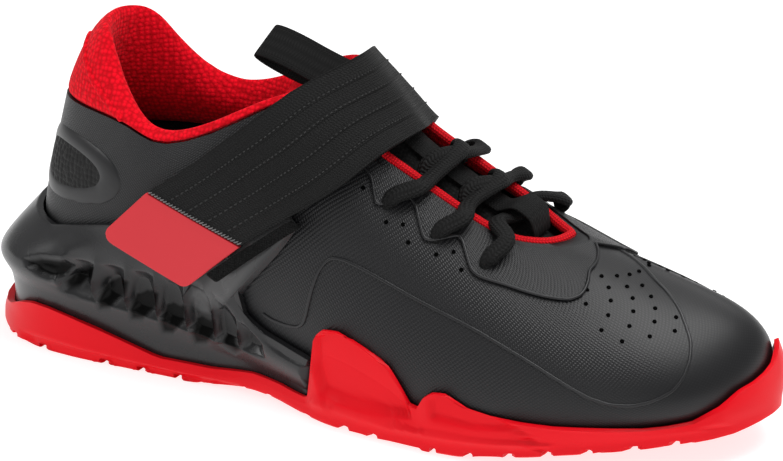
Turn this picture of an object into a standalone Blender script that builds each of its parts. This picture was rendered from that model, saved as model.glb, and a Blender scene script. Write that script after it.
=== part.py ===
"""A weightlifting shoe for the right foot, standing empty on its sole.

Toe towards +X, the outer side of the foot towards -Y, +Z up, in metres.
Every form is a skin: columns that stand round the foot, from the toe along the outer side
to the heel and back along the inner side, each with a few rows from the sole upwards.
Column tables hold shares of LENGTH, BALL_WIDTH and COLLAR_HEIGHT, chosen by hand.
"""
import bmesh
import bpy
import numpy as np

# Driving sizes
LENGTH = 0.300
BALL_WIDTH = 0.106
COLLAR_HEIGHT = 0.124
HEEL_REST = 0.045
HEEL_BED = 0.0265
FORE_BED = 0.0062
TOE_SPRING = 0.0105
ARCH_RISE = 0.0032
UPPER_WALL = 0.0022
INSOLE_THICKNESS = 0.0035
CAGE_EDGE = 0.0022
CUP_EDGE = 0.0018
HEEL_PLATE = 0.0045
STRAP_THICKNESS = 0.0018
TAB_THICKNESS = 0.0020
LACE_WIDTH = 0.0060
LACE_THICKNESS = 0.0030
LOOP_WIDTH = 0.014
LOOP_THICKNESS = 0.0014
OVERLAY_THICKNESS = 0.0009
BEAD = 0.0032
GAP = 0.0003
SOFT_GAP = 0.0005

SHARE = np.array((LENGTH, BALL_WIDTH, COLLAR_HEIGHT))
SHIFT = np.array((HEEL_REST, 0.0, 0.0))

# Columns round the foot, in order: x and y shares of the feather edge, then x, y and z
# shares of the belly, shoulder, crown and top line of the upper
UPPER = {
    "toe": ((.967, .090), (.983, .090, .258), (.950, .085, .363), (.873, .066, .435),
        (.747, .028, .532)),
    "toe_out": ((.953, -.075), (.970, -.085, .218), (.937, -.066, .339), (.860, -.028, .431),
        (.737, -.047, .532)),
    "small_toe_tip": ((.903, -.245), (.920, -.274, .194), (.890, -.236, .315), (.823, -.132, .435),
        (.713, -.104, .540)),
    "small_toe": ((.827, -.368), (.833, -.410, .177), (.817, -.368, .306), (.767, -.255, .435),
        (.687, -.146, .560)),
    "ball_out": ((.727, -.434), (.727, -.476, .177), (.717, -.434, .331), (.687, -.321, .476),
        (.640, -.170, .613)),
    "fore_waist_out": ((.620, -.434), (.620, -.476, .194), (.613, -.439, .371), (.597, -.340, .540),
        (.570, -.184, .702)),
    "waist_out": ((.520, -.396), (.520, -.439, .234), (.517, -.410, .435), (.513, -.330, .637),
        (.505, -.198, .798)),
    "instep_out": ((.420, -.340), (.420, -.382, .298), (.423, -.377, .492), (.433, -.325, .712),
        (.447, -.231, .887)),
    "collar_front_out": ((.347, -.321), (.347, -.363, .331), (.350, -.368, .500),
        (.363, -.344, .661), (.370, -.302, .806)),
    "collar_low_out": ((.273, -.321), (.273, -.354, .355), (.273, -.358, .492), (.277, -.349, .613),
        (.280, -.321, .710)),
    "collar_rear_out": ((.200, -.311), (.200, -.335, .363), (.203, -.330, .500),
        (.213, -.321, .629), (.223, -.302, .734)),
    "heel_out": ((.120, -.236), (.113, -.250, .371), (.123, -.245, .500), (.137, -.236, .629),
        (.150, -.226, .742)),
    "heel_corner_out": ((.083, -.132), (.072, -.142, .371), (.082, -.137, .500),
        (.093, -.127, .629), (.105, -.127, .738)),
    "heel_back": ((.073, .000), (.058, .000, .379), (.068, .000, .500), (.080, .000, .629),
        (.090, .000, .734)),
    "heel_corner_in": ((.083, .132), (.072, .142, .371), (.082, .137, .500), (.093, .127, .629),
        (.105, .127, .738)),
    "heel_in": ((.120, .236), (.113, .250, .371), (.123, .245, .500), (.137, .236, .629),
        (.150, .226, .738)),
    "collar_rear_in": ((.200, .302), (.200, .330, .363), (.203, .325, .500), (.213, .311, .621),
        (.223, .292, .718)),
    "collar_low_in": ((.273, .292), (.273, .330, .355), (.273, .340, .492), (.277, .330, .613),
        (.280, .307, .706)),
    "collar_front_in": ((.347, .264), (.347, .311, .331), (.350, .335, .500), (.360, .325, .661),
        (.370, .283, .790)),
    "instep_in": ((.420, .245), (.420, .302, .298), (.423, .330, .492), (.433, .292, .712),
        (.447, .217, .879)),
    "waist_in": ((.520, .274), (.520, .325, .234), (.520, .330, .435), (.517, .274, .637),
        (.508, .170, .790)),
    "fore_waist_in": ((.627, .349), (.627, .396, .194), (.620, .377, .355), (.603, .292, .532),
        (.577, .156, .694)),
    "ball_in": ((.733, .396), (.733, .439, .177), (.723, .396, .331), (.693, .292, .484),
        (.647, .142, .617)),
    "big_toe": ((.833, .387), (.837, .429, .177), (.820, .387, .306), (.770, .264, .435),
        (.693, .127, .565)),
    "big_toe_tip": ((.910, .311), (.923, .349, .194), (.897, .311, .306), (.830, .189, .427),
        (.720, .094, .544)),
    "toe_in": ((.953, .208), (.970, .222, .226), (.940, .208, .339), (.867, .132, .431),
        (.740, .066, .532)),
}
NAMES = list(UPPER)
COLUMNS = len(NAMES)
HEEL = COLUMNS // 2
CAGE_START = NAMES.index("waist_out")
CAGE_END = NAMES.index("waist_in")
TOP_LINE = 4

# Share of the way from FORE_BED to HEEL_BED at shares of the length, then the toe's rise
BED_SLOPE = ((0, 1), (.13, 1), (.20, .96), (.283, .77), (.367, .52), (.433, .29), (.5, .11),
             (.567, .03), (.667, 0), (1, 0))
BED_SPRING = ((0, 0), (.667, 0), (.74, .14), (.81, .44), (.887, .72), (.967, .93), (1, 1))

# The sole's lower edge at each column: x and y shares of its outline
OUTLINE = {
    "toe": (.997, .085), "toe_out": (.983, -.057), "small_toe_tip": (.933, -.226),
    "small_toe": (.847, -.380), "ball_out": (.740, -.466), "fore_waist_out": (.620, -.478),
    "waist_out": (.507, -.443), "instep_out": (.420, -.377), "collar_front_out": (.347, -.354),
    "collar_low_out": (.267, -.354), "collar_rear_out": (.187, -.358), "heel_out": (.090, -.330),
    "heel_corner_out": (.019, -.186), "heel_back": (.000, .000), "heel_corner_in": (.019, .186),
    "heel_in": (.090, .321), "collar_rear_in": (.187, .340), "collar_low_in": (.267, .316),
    "collar_front_in": (.347, .297), "instep_in": (.420, .307), "waist_in": (.507, .363),
    "fore_waist_in": (.627, .425), "ball_in": (.740, .443), "big_toe": (.847, .420),
    "big_toe_tip": (.933, .311), "toe_in": (.983, .193),
}
# The tread's height at shares of the length: shares of the toe's rise, then of the arch's
TREAD_SPRING = ((0, 0), (.680, 0), (.74, .24), (.81, .57), (.887, .81), (.967, 1), (1, 1.3))
TREAD_ARCH = ((0, 1.1), (.02, .4), (.05, 0), (.31, 0), (.35, .4), (.40, 1), (.44, .8), (.49, .15),
              (.51, 0), (1, 0))
TREAD_DEPTH = 0.0016
GROOVE_WIDTH = 0.0022
# Cross grooves of the tread, at shares of the length
GROOVES = (.055, .105, .195, .245, .295, .535, .575, .655, .70, .745, .79, .835, .88, .92)


def smooth_weights(count, places, closed):
    """Weights that blend values at 0, 1, 2 ... into a curve of continuous curvature."""
    eye = np.eye(count)
    before, after = np.roll(eye, 1, 1), np.roll(eye, -1, 1)
    left, right = 4 * eye + before + after, 6 * (before + after - 2 * eye)
    if not closed:
        for end in (0, count - 1):
            left[end], right[end] = eye[end], 0
    bend = np.linalg.solve(left, right)
    places = np.asarray(places, float)
    whole = np.floor(places).astype(int)
    if not closed:
        whole = np.clip(whole, 0, count - 2)
    share = (places - whole)[:, None]
    here, there = whole % count, (whole + 1) % count
    ahead = 1 - share
    return (ahead * eye[here] + share * eye[there]
            + (ahead ** 3 - ahead) / 6 * bend[here] + (share ** 3 - share) / 6 * bend[there])


def profile(table, x):
    """A height read from a table of shares of the length."""
    shares, values = np.array(table, float).T
    return np.interp((np.asarray(x) + HEEL_REST) / LENGTH, shares, values)


def bed_height(x):
    """The platform that the upper and the insole stand on."""
    return FORE_BED + (HEEL_BED - FORE_BED) * profile(BED_SLOPE,
                                                      x) + TOE_SPRING * profile(BED_SPRING, x)


def tread_height(x):
    """The sole's lowest surface: flat under heel and ball, raised at the arch and toe."""
    return TOE_SPRING * profile(TREAD_SPRING, x) + ARCH_RISE * profile(TREAD_ARCH, x)


class Skin:
    """A smooth surface through columns of points that stand round the foot."""

    def __init__(self, points, closed=True, first=0):
        self.points = np.array(points)
        self.closed = closed
        self.first = first

    def at(self, columns, rows):
        """A grid of points at every column and row."""
        around = smooth_weights(len(self.points), np.asarray(columns) - self.first, self.closed)
        upward = smooth_weights(self.points.shape[1], rows, False)
        return np.einsum("ci,rj,ijk->crk", around, upward, self.points)

    def normals(self, columns, rows, step=0.02):
        """Directions that point out of the foot."""
        columns, rows = np.asarray(columns, float), np.asarray(rows, float)
        along = self.at(columns + step, rows) - self.at(columns - step, rows)
        upward = self.at(columns, rows + step) - self.at(columns, rows - step)
        across = np.cross(upward, along)
        return across / np.linalg.norm(across, axis=2, keepdims=True)

    def off(self, columns, rows, distance):
        """The grid moved out of the foot by a distance."""
        return self.at(columns, rows) + self.normals(columns, rows) * distance

    def paired(self, columns, rows, distance=0.0):
        """One point for each column and row that stand together in the two lists."""
        return np.array([self.off([c], [r], distance)[0, 0] for c, r in zip(columns, rows)])

    def row_at(self, column, height):
        """The row at which a column reaches a height."""
        rows = np.linspace(0, self.points.shape[1] - 1, 81)
        return float(np.interp(height, self.at([column], rows)[0, :, 2], rows))


def place(shares):
    """Shares of the named sizes as a point of the shoe's frame."""
    return np.array(shares) * SHARE - SHIFT


def upper_skin():
    """The outside of the upper."""
    points = []
    for feather, *rows in UPPER.values():
        foot = place((*feather, 0))
        foot[2] = bed_height(foot[0]) + GAP
        points.append([foot, *[place(row) for row in rows]])
    return Skin(points)


def steps(start, end, count):
    """Places from start up to and including end."""
    return list(np.linspace(start, end, count + 1))


UPPER_SKIN = upper_skin()
# The scoops in the cage's side: first column behind its front, pitch in columns, and count
PIT_FIRST = .98
PIT_PITCH = .49
PIT_COUNT = 7
ROUND_STEPS = 3
CAGE_FRONT = CAGE_START + .25
HEEL_TURN = HEEL - 2
PIT_COLUMNS = [CAGE_START + PIT_FIRST + PIT_PITCH * k / 3 for k in range(3 * PIT_COUNT + 1)]
CAGE_OUT = [CAGE_FRONT, CAGE_START + .5, CAGE_START + .75, *PIT_COLUMNS, HEEL_TURN - .3,
            *steps(HEEL_TURN, HEEL, ROUND_STEPS * 2)]
CAGE_COLUMNS = CAGE_OUT + [COLUMNS - c for c in CAGE_OUT[-2::-1]]
# Columns of the cup: even round the toe, then closer where the wing and the fin rise
CUP_OUT = steps(0, 4, ROUND_STEPS * 4) + [4.25, 4.5, 4.65, 4.75, 4.85, 4.95, 5.05, 5.2, 5.5, 5.9,
                                          6.1, 6.18, 6.22]
UPPER_COLUMNS = steps(0, COLUMNS, ROUND_STEPS * COLUMNS)[:-1]


def finish_object(name, bm, colour, roughness, coat=0.0, smooth_angle=40):
    """Turn a bmesh into a named object with its own material."""
    bmesh.ops.remove_doubles(bm, verts=bm.verts, dist=1e-6)
    bmesh.ops.recalc_face_normals(bm, faces=bm.faces)
    mesh = bpy.data.meshes.new(name)
    bm.to_mesh(mesh)
    bm.free()
    mesh.shade_smooth()
    mesh.set_sharp_from_angle(angle=np.radians(smooth_angle))
    material = bpy.data.materials.new(name)
    material.use_nodes = True
    shader = material.node_tree.nodes["Principled BSDF"]
    shader.inputs["Base Color"].default_value = (*colour, 1)
    shader.inputs["Roughness"].default_value = roughness
    shader.inputs["Coat Weight"].default_value = coat
    mesh.materials.append(material)
    body = bpy.data.objects.new(name, mesh)
    bpy.context.collection.objects.link(body)
    return body


def join(body, others):
    """Make one solid of a body and the others, which stay as hidden guides."""
    for other in others:
        other.hide_render = True
        other.display_type = "WIRE"
        joined = body.modifiers.new("join " + other.name, "BOOLEAN")
        joined.operation = "UNION"
        joined.object = other


def add_face(bm, corners):
    """A face through the corners, without those that fall together."""
    ring = [corner for i, corner in enumerate(corners) if corner is not corners[i - 1]]
    if len(set(ring)) > 2:
        bm.faces.new(ring)


def skin_faces(bm, grid, around=False, along=False):
    """Faces between the rows and columns of a grid of vertices."""
    columns, rows = len(grid), len(grid[0])
    for c in range(columns if around else columns - 1):
        for r in range(rows if along else rows - 1):
            n, m = (c + 1) % columns, (r + 1) % rows
            add_face(bm, (grid[c][r], grid[n][r], grid[n][m], grid[c][m]))


def close_hole(bm):
    """Cover the open end of a body with triangles."""
    bmesh.ops.remove_doubles(bm, verts=bm.verts, dist=1e-6)
    open_edges = [edge for edge in bm.edges if edge.is_boundary]
    cover = bmesh.ops.holes_fill(bm, edges=open_edges)["faces"]
    bmesh.ops.triangulate(bm, faces=cover)


def ring_body(loops, closed):
    """A body whose closed cross-sections follow each other, joined up or capped."""
    bm = bmesh.new()
    grid = [[bm.verts.new(point) for point in loop] for loop in loops]
    skin_faces(bm, grid, around=closed, along=True)
    if not closed:
        close_hole(bm)
    return bm


def plate_height(x, height, share):
    """The cage's underside, a gap over the sole's heel plate."""
    return tread_height(x) + HEEL_PLATE + GAP


def platform_height(x, height, share):
    """The top of the wedge."""
    return bed_height(x)


def sole_height(x, height, share):
    """The sole's underside."""
    return tread_height(x)


def same_height(x, height, share):
    """A strip that stays as straight as its two ends make it."""
    return height


def insole_foot(x, height, share):
    """The insole's underside, a gap over the platform."""
    return bed_height(x) + GAP


def insole_top(x, height, share):
    """The insole's upper side."""
    return insole_foot(x, height, share) + INSOLE_THICKNESS


def cup_body(chains, closed, across, lower, upper):
    """A body with a bottom and a floor, from one chain of points for each column.

    Chains run from the front along the outer side to the heel and back. The chain's first
    point is on the bottom edge and its last one on the floor edge. The bottom and the floor
    are strips from each outer column to the inner column opposite it.
    """
    bm = bmesh.new()
    grid = [[bm.verts.new(point) for point in chain] for chain in chains]
    if closed:
        grid.append(grid[0])
    skin_faces(bm, grid)
    middle = len(grid) // 2
    for end, height in ((0, lower), (-1, upper)):
        strips = []
        for r in range(middle + 1):
            near, far = grid[middle - r][end], grid[middle + r][end]
            if near is far:
                strips.append([near] * (across + 1))
                continue
            inner = []
            for i in range(1, across):
                point = near.co.lerp(far.co, i / across)
                point.z = height(point.x, point.z, i / across)
                inner.append(bm.verts.new(point))
            strips.append([near, *inner, far])
        skin_faces(bm, strips)
    if not closed:
        close_hole(bm)
    return bm


def grid_edge(grid):
    """The outer edge of a grid, once round."""
    last = [column[-1] for column in grid[-2::-1]]
    return [column[0] for column in grid] + grid[-1][1:] + last + grid[0][-2:0:-1]


def thin_body(outer, inner):
    """A body between two grids of the same size."""
    bm = bmesh.new()
    top = [[bm.verts.new(p) for p in column] for column in outer]
    under = [[bm.verts.new(p) for p in column] for column in inner]
    skin_faces(bm, top)
    skin_faces(bm, under)
    skin_faces(bm, [grid_edge(top), grid_edge(under)], along=True)
    return bm


# Upper

UPPER_ROWS = (0, .5, 1, 1.5, 2, 2.5, 3, 3.5, 4)
UPPER_INNER_ROWS = (4, 3.5, 3, 2.3, 1.6, .8, 0)


def build_upper():
    """One wall, open at the collar and throat and underneath."""
    outer = UPPER_SKIN.at(UPPER_COLUMNS, UPPER_ROWS)
    inner = UPPER_SKIN.off(UPPER_COLUMNS, UPPER_INNER_ROWS, -UPPER_WALL)
    inner[:, -1, 2] = outer[:, 0, 2]
    loops = np.concatenate((outer, inner), axis=1)
    return finish_object("upper", ring_body(loops, True), (.020, .020, .021), .62)


# Heel cage and midsole wedge

# x, y and z shares of the waist, lip and bulge of the cage's outside
CAGE = {
    "waist_out": ((.503, -.425, .073), (.502, -.442, .105), (.500, -.448, .137)),
    "instep_out": ((.420, -.354, .085), (.418, -.382, .133), (.417, -.401, .177)),
    "collar_front_out": ((.347, -.325, .093), (.347, -.358, .149), (.347, -.387, .218)),
    "collar_low_out": ((.267, -.325, .101), (.267, -.354, .173), (.267, -.387, .250)),
    "collar_rear_out": ((.183, -.325, .105), (.180, -.354, .190), (.178, -.387, .266)),
    "heel_out": ((.090, -.297, .105), (.083, -.316, .194), (.078, -.340, .270)),
    "heel_corner_out": ((.032, -.170, .105), (.025, -.175, .190), (.018, -.189, .258)),
    "heel_back": ((.012, .000, .105), (.005, .000, .177), (.000, .000, .242)),
    "heel_corner_in": ((.032, .170, .105), (.025, .175, .190), (.018, .189, .258)),
    "heel_in": ((.090, .292, .105), (.083, .311, .194), (.078, .335, .270)),
    "collar_rear_in": ((.183, .311, .105), (.180, .340, .190), (.178, .368, .266)),
    "collar_low_in": ((.267, .292, .101), (.267, .325, .173), (.267, .363, .250)),
    "collar_front_in": ((.347, .274, .093), (.347, .311, .149), (.347, .354, .218)),
    "instep_in": ((.420, .283, .085), (.418, .307, .133), (.417, .330, .177)),
    "waist_in": ((.503, .340, .073), (.502, .354, .105), (.500, .363, .137)),
}
# The cage's top edge: columns counted from the front corner back, and shares of COLLAR_HEIGHT
CAGE_TOP = ((0, .170), (1, .226), (1.35, .27), (1.5, .40), (1.65, .46), (2, .468), (3, .476),
            (4, .440), (5, .375), (6, .385), (7, .395))
PIT_DEPTH = 0.0050
PIT_ROWS = (1.1, 2.4)


def cage_top(column):
    """Height of the cage's top edge."""
    back = min(column - CAGE_START, CAGE_END - column)
    columns, shares = np.array(CAGE_TOP).T
    return float(np.interp(back, columns, shares)) * COLLAR_HEIGHT


def cage_skin():
    """The outside of the cage, from its waist to its top edge."""
    points = []
    for index, rows in enumerate(CAGE.values()):
        column = CAGE_START + index
        edge = UPPER_SKIN.row_at(column, cage_top(column))
        rim = UPPER_SKIN.off([column], [edge], GAP + CAGE_EDGE)[0, 0]
        points.append([*[place(row) for row in rows], rim])
    return Skin(points, closed=False, first=CAGE_START)


CAGE_SKIN = cage_skin()


def pit_depth(column, row):
    """How far a scoop presses the cage's side in."""
    station = (min(column - CAGE_START, CAGE_END - column) - PIT_FIRST) / PIT_PITCH
    if not 0 < station < PIT_COUNT:
        return 0.0
    middle = (PIT_ROWS[0] + PIT_ROWS[1]) / 2
    half = (PIT_ROWS[1] - PIT_ROWS[0]) / 2
    tall = max(0.0, 1 - ((row - middle) / half) ** 2)
    return PIT_DEPTH * min(1, .5 + station * .2) * np.sqrt(tall * max(0.0,
                                                                      np.sin(np.pi * (station % 1))))


CAGE_ROWS = (0, .4, .8, 1, 1.35, 1.7, 2, 2.25, 2.5, 2.75, 3)
CAGE_WALL_ROWS = (2, 1.5, 1, .5, 0)
FRONT_CLEARANCE = .05


def cage_chain(column):
    """One column of the cage: bottom, side, top edge and the wall against the upper."""
    column = float(np.clip(column, CAGE_FRONT + FRONT_CLEARANCE,
                           COLUMNS - CAGE_FRONT - FRONT_CLEARANCE))
    side = CAGE_SKIN.at([column], CAGE_ROWS)[0]
    out = CAGE_SKIN.normals([column], CAGE_ROWS)[0]
    for i, row in enumerate(CAGE_ROWS):
        side[i] -= out[i] * pit_depth(column, row)
    edge = UPPER_SKIN.row_at(column, cage_top(column))
    side[-1] = UPPER_SKIN.off([column], [edge], SOFT_GAP + CAGE_EDGE)[0, 0]
    wall = UPPER_SKIN.off([column], rows_below(edge, CAGE_WALL_ROWS), SOFT_GAP)[0]
    wall[-1, 2] = bed_height(wall[-1, 0])
    foot = side[0].copy()
    foot[2] = tread_height(foot[0]) + HEEL_PLATE + GAP
    return np.vstack(([foot], side, wall))


def dish_point(column):
    """The inner edge of the sole's dish, a gap out from the cage's waist."""
    return CAGE_SKIN.at([column], [0])[0, 0] + level_out(CAGE_SKIN, column, 0) * GAP


# The rib that slants from the cage up to the strap: front and rear edges as columns and rows
RIB = (((7.95, .42), (8.60, .80)), ((7.62, .74), (8.20, 1.12)), ((7.25, 1.22), (7.80, 1.55)),
       ((6.80, 1.90), (7.30, 2.15)),
       ((6.54, 2.38), (6.86, 2.56)))
RIB_RISE = 0.0031


def build_rib():
    """The rib on its own, to be joined to the cage."""
    knots = np.array(RIB).reshape(len(RIB), 4)
    path = smooth_weights(len(RIB), np.linspace(0, len(RIB) - 1, 13), False) @ knots
    loops = []
    for column, row, column_behind, row_behind in path:
        low, high = SOFT_GAP + GAP / 2, RIB_RISE
        front = UPPER_SKIN.paired([column, column], [row, row], 0)[0]
        front_out = UPPER_SKIN.normals([column], [row])[0, 0]
        rear = UPPER_SKIN.at([column_behind], [row_behind])[0, 0]
        rear_out = UPPER_SKIN.normals([column_behind], [row_behind])[0, 0]
        inset = (rear - front) * .14
        loops.append([front + front_out * low, front + inset + front_out * high,
                      rear - inset + rear_out * high * .7, rear + rear_out * low])
    return finish_object("cage_rib", ring_body(loops, False), (.032, .032, .033), .38, coat=.2)


def build_cage():
    """The wedge under the foot and the cage round the heel."""
    chains = [cage_chain(column) for column in CAGE_COLUMNS]
    bm = cup_body(chains, False, 4, plate_height, platform_height)
    cage = finish_object("heel_cage", bm, (.032, .032, .033), .38, coat=.2)
    join(cage, [build_rib()])
    return cage


# Outsole

# The cup's top edge in shares of COLLAR_HEIGHT, by columns counted from the toe
CUP_TOP_OUT = ((0, .242), (.45, .226), (1.1, .212), (1.2, .202), (1.45, .161), (1.7, .140),
               (2.3, .137), (2.85, .143), (3.25, .139),
               (3.9, .145), (4.25, .161), (4.5, .192), (4.65, .187), (4.75, .169), (4.85, .130),
               (4.95, .137), (5.05, .185),
               (5.2, .234), (5.5, .266), (5.9, .296), (6.1, .290), (6.2, .266), (6.25, .24))
CUP_TOP_IN = ((0, .242), (.35, .270), (.6, .280), (1, .250), (1.5, .185), (2, .150), (4, .145),
              (4.4, .165), (4.7, .175),
              (4.85, .140), (5.05, .175), (5.4, .240), (5.9, .265), (6.1, .262), (6.25, .24))
# The dish's top edge in shares of COLLAR_HEIGHT, by columns counted from the cage's front
DISH_TOP = ((0, .06), (3, .055), (3.4, .075), (4.0, .105), (4.5, .130), (4.85, .141), (5.2, .130),
            (5.6, .090), (6.0, .073),
            (6.6, .075), (7, .080))


def outline_skin():
    """The sole's lower edge and a line a little above it."""
    points = []
    for share in OUTLINE.values():
        edge = place((*share, 0))
        points.append([edge, edge])
    return Skin(points)


OUTLINE_SKIN = outline_skin()


def outline_point(column, rise):
    """A point of the sole's side, a rise above its lower edge."""
    point = OUTLINE_SKIN.at([column], [0])[0, 0]
    point[2] = tread_height(point[0]) + rise
    return point


def level_out(skin, column, row):
    """The level direction out of the foot."""
    out = skin.normals([column], [row])[0, 0]
    out[2] = 0
    return out / np.linalg.norm(out)


def rows_below(edge, rows):
    """Rows that go down from an edge, in step with the body that the wall faces."""
    return [edge, *[min(edge, row) for row in rows]]


CUP_ROWS = (1.5, 1, .5, 0)


def cup_chain(column):
    """One column of the cup round the forefoot."""
    inner_side = column > HEEL
    columns, shares = np.array(CUP_TOP_IN if inner_side else CUP_TOP_OUT).T
    top = float(np.interp(min(column, COLUMNS - column), columns, shares)) * COLLAR_HEIGHT
    edge = UPPER_SKIN.row_at(column, top)
    foot = outline_point(column, 0)
    side = outline_point(column, TREAD_DEPTH * 2)
    out = level_out(UPPER_SKIN, column, 1)
    feather = UPPER_SKIN.at([column], [0])[0, 0]
    flare = float(np.dot((side - feather)[:2], out[:2]))
    wall = []
    for share in (.3, .6, .85):
        point = UPPER_SKIN.at([column], [edge * share])[0, 0]
        wide = CUP_EDGE + SOFT_GAP + max(flare - CUP_EDGE, 0) * (1 - share) ** 1.2
        point += out * wide
        point[2] = side[2] + (top - side[2]) * share
        wall.append(point)
    rim = UPPER_SKIN.off([column], [edge], SOFT_GAP + CUP_EDGE)[0]
    inner = UPPER_SKIN.off([column], rows_below(edge, CUP_ROWS), SOFT_GAP)[0]
    inner[-1, 2] = bed_height(inner[-1, 0])
    return np.vstack(([foot, side], wall, rim, inner))


def dish_chain(column):
    """One column of the dish under the cage."""
    back = min(column - CAGE_START, CAGE_END - column)
    columns, shares = np.array(DISH_TOP).T
    top = float(np.interp(back, columns, shares)) * COLLAR_HEIGHT
    foot = outline_point(column, 0)
    side = outline_point(column, TREAD_DEPTH * 2)
    low = dish_point(column)
    low[2] = tread_height(low[0]) + HEEL_PLATE
    top = max(top, low[2] + TREAD_DEPTH)
    edge = CAGE_SKIN.row_at(column, top)
    inner = CAGE_SKIN.off([column], [edge, edge * .5, 0], GAP)[0]
    waist = inner[-1]
    inner[:, 2] = np.minimum(inner[:, 2], top)
    if top < waist[2] + GAP:
        inner[:, :2] = dish_point(column)[:2]
    inner[0, 2] = top
    inner[2, :2] = low[:2]
    rim = inner[0] + (side - inner[0]) * (1, 1, 0) * .7
    wall = [side + (rim - side) * share for share in (.3, .6, .85)]
    rows = [*inner, inner[2] + (low - inner[2]) * .5, low]
    return np.vstack(([foot, side], wall, [rim], rows))


def groove_cutter():
    """The grooves between the tread's lugs, as boxes right across the sole."""
    bm = bmesh.new()
    for share in GROOVES:
        x = share * LENGTH - HEEL_REST
        top = tread_height(x) + TREAD_DEPTH
        box = bmesh.ops.create_cube(bm, size=1)["verts"]
        bmesh.ops.scale(bm, verts=box, vec=(GROOVE_WIDTH, BALL_WIDTH * 1.2, top * 2))
        bmesh.ops.translate(bm, verts=box, vec=(x, 0, 0))
    return finish_object("tread_grooves", bm, (.78, .018, .028), .42)


def build_outsole():
    """The red rubber cup, with the dish for the cage and the tread."""
    chains = [cup_chain(c) for c in CUP_OUT]
    chains += [dish_chain(c) for c in CAGE_COLUMNS]
    chains += [cup_chain(COLUMNS - c) for c in CUP_OUT[:0:-1]]
    bm = cup_body(chains, True, 3, sole_height, same_height)
    outsole = finish_object("outsole", bm, (.78, .018, .028), .42)
    cutter = groove_cutter()
    cutter.hide_render = True
    cutter.display_type = "WIRE"
    grooves = outsole.modifiers.new("tread grooves", "BOOLEAN")
    grooves.operation = "DIFFERENCE"
    grooves.object = cutter
    return outsole


def build_insole():
    """A flat bed inside the upper."""
    foot = UPPER_SKIN.off(UPPER_COLUMNS[::3], [0], -UPPER_WALL - SOFT_GAP * 2)[:, 0]
    chains = []
    for point in foot:
        low, high = point.copy(), point.copy()
        low[2] = bed_height(point[0]) + GAP
        high[2] = low[2] + INSOLE_THICKNESS
        chains.append([low, high])
    bm = cup_body(np.array(chains), True, 4, insole_foot, insole_top)
    return finish_object("insole", bm, (.03, .03, .03), .8)


# Collar lining

# The crest of the padded collar between the two front corners: x, y and z shares
CREST = {
    "collar_front_out": (.373, -.278, .843), "collar_low_out": (.277, -.288, .742),
    "collar_rear_out": (.213, -.212, .815), "heel_out": (.180, -.151, .952),
    "heel_corner_out": (.163, -.085, .988), "heel_back": (.157, .000, .998),
    "heel_corner_in": (.163, .085, .988), "heel_in": (.180, .142, .948),
    "collar_rear_in": (.207, .203, .823), "collar_low_in": (.267, .274, .730),
    "collar_front_in": (.363, .264, .819),
}
# By columns counted from the toe: the padding's thickness and the row where the lining ends
PAD = ((0, .0003), (6, .0003), (7, .002), (8, .005), (9, .006), (10, .0080), (11, .0085),
       (12, .0075), (13, .0070))
PAD_END = ((0, 3.72), (6, 3.72), (7, 3.4), (8, 2.9), (9, 2.6), (13, 2.6))
PAD_BULGE = ((0, 0), (8, 0), (9, .0003), (10, .0015), (11, .0028), (13, .0030))
LINING = 0.0011


def by_column(table, column):
    """A value from a table of columns counted from the toe, the same on both sides."""
    columns, values = np.array(table).T
    return float(np.interp(min(column % COLUMNS, COLUMNS - column % COLUMNS), columns, values))


def rim_frame(column):
    """The upper's top line at a column, with the directions upwards along it and outwards."""
    edge, below = UPPER_SKIN.at([column], [TOP_LINE, TOP_LINE - .05])[0]
    rise = (edge - below) / np.linalg.norm(edge - below)
    return edge, rise, UPPER_SKIN.normals([column], [TOP_LINE])[0, 0]


def crest_ring():
    """The highest line of the lining all round."""
    points = []
    for column, name in enumerate(NAMES):
        edge, rise, out = rim_frame(column)
        points.append(place(CREST[name]) if name in CREST else edge + rise * BEAD - out * UPPER_WALL / 2)
    return Skin(np.array(points)[:, None].repeat(2, 1))


CREST_RING = crest_ring()


def lining_loop(column):
    """The closed section of the collar lining at a column."""
    pad, bulge, end = (by_column(table, column) for table in (PAD, PAD_BULGE, PAD_END))
    edge, rise, out = rim_frame(column)
    crest = CREST_RING.at([column], [0])[0, 0]
    inset = -UPPER_WALL - SOFT_GAP
    rows = (end, (end + TOP_LINE) / 2, TOP_LINE)
    skirt = UPPER_SKIN.off([column], rows, inset)[0]
    over = edge + rise * SOFT_GAP + out * .0008
    outside = over + (crest - over) * .5 + out * (.0004 + bulge)
    foot = UPPER_SKIN.off([column], rows, inset - LINING - pad * .25)[0, 0]
    middle = UPPER_SKIN.off([column], rows, inset - LINING - pad * .85)[0, 1]
    high = (middle + crest) / 2 - out * (pad * .3 + .0004)
    shoulder = crest + (over - crest) * .18 + out * (bulge + .0006)
    return np.vstack((skirt, skirt[-1] + rise * SOFT_GAP, over, outside, shoulder, crest, high,
                      middle, foot))


def build_lining():
    """The padded collar, rolled over the top line, and the bead along the throat."""
    loops = [lining_loop(column) for column in UPPER_COLUMNS]
    return finish_object("collar_lining", ring_body(loops, True), (.80, .012, .022), .75)


# Tongue and what it carries

# Sections from the toe backwards: x share, height share of the middle, half width as a share
# of BALL_WIDTH, and the drop of the sides as a share of COLLAR_HEIGHT
TONGUE = ((.787, .452, .104, .024), (.740, .488, .160, .050), (.687, .552, .205, .094),
          (.643, .612, .205, .118),
          (.600, .672, .195, .142), (.553, .735, .185, .148), (.507, .830, .178, .154),
          (.463, .885, .178, .135),
          (.427, .892, .165, .095), (.397, .880, .150, .060))
TONGUE_THICKNESS = 0.0045
WEBBING_WIDTH = 0.0112
WEBBING_THICKNESS = 0.0009


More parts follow.
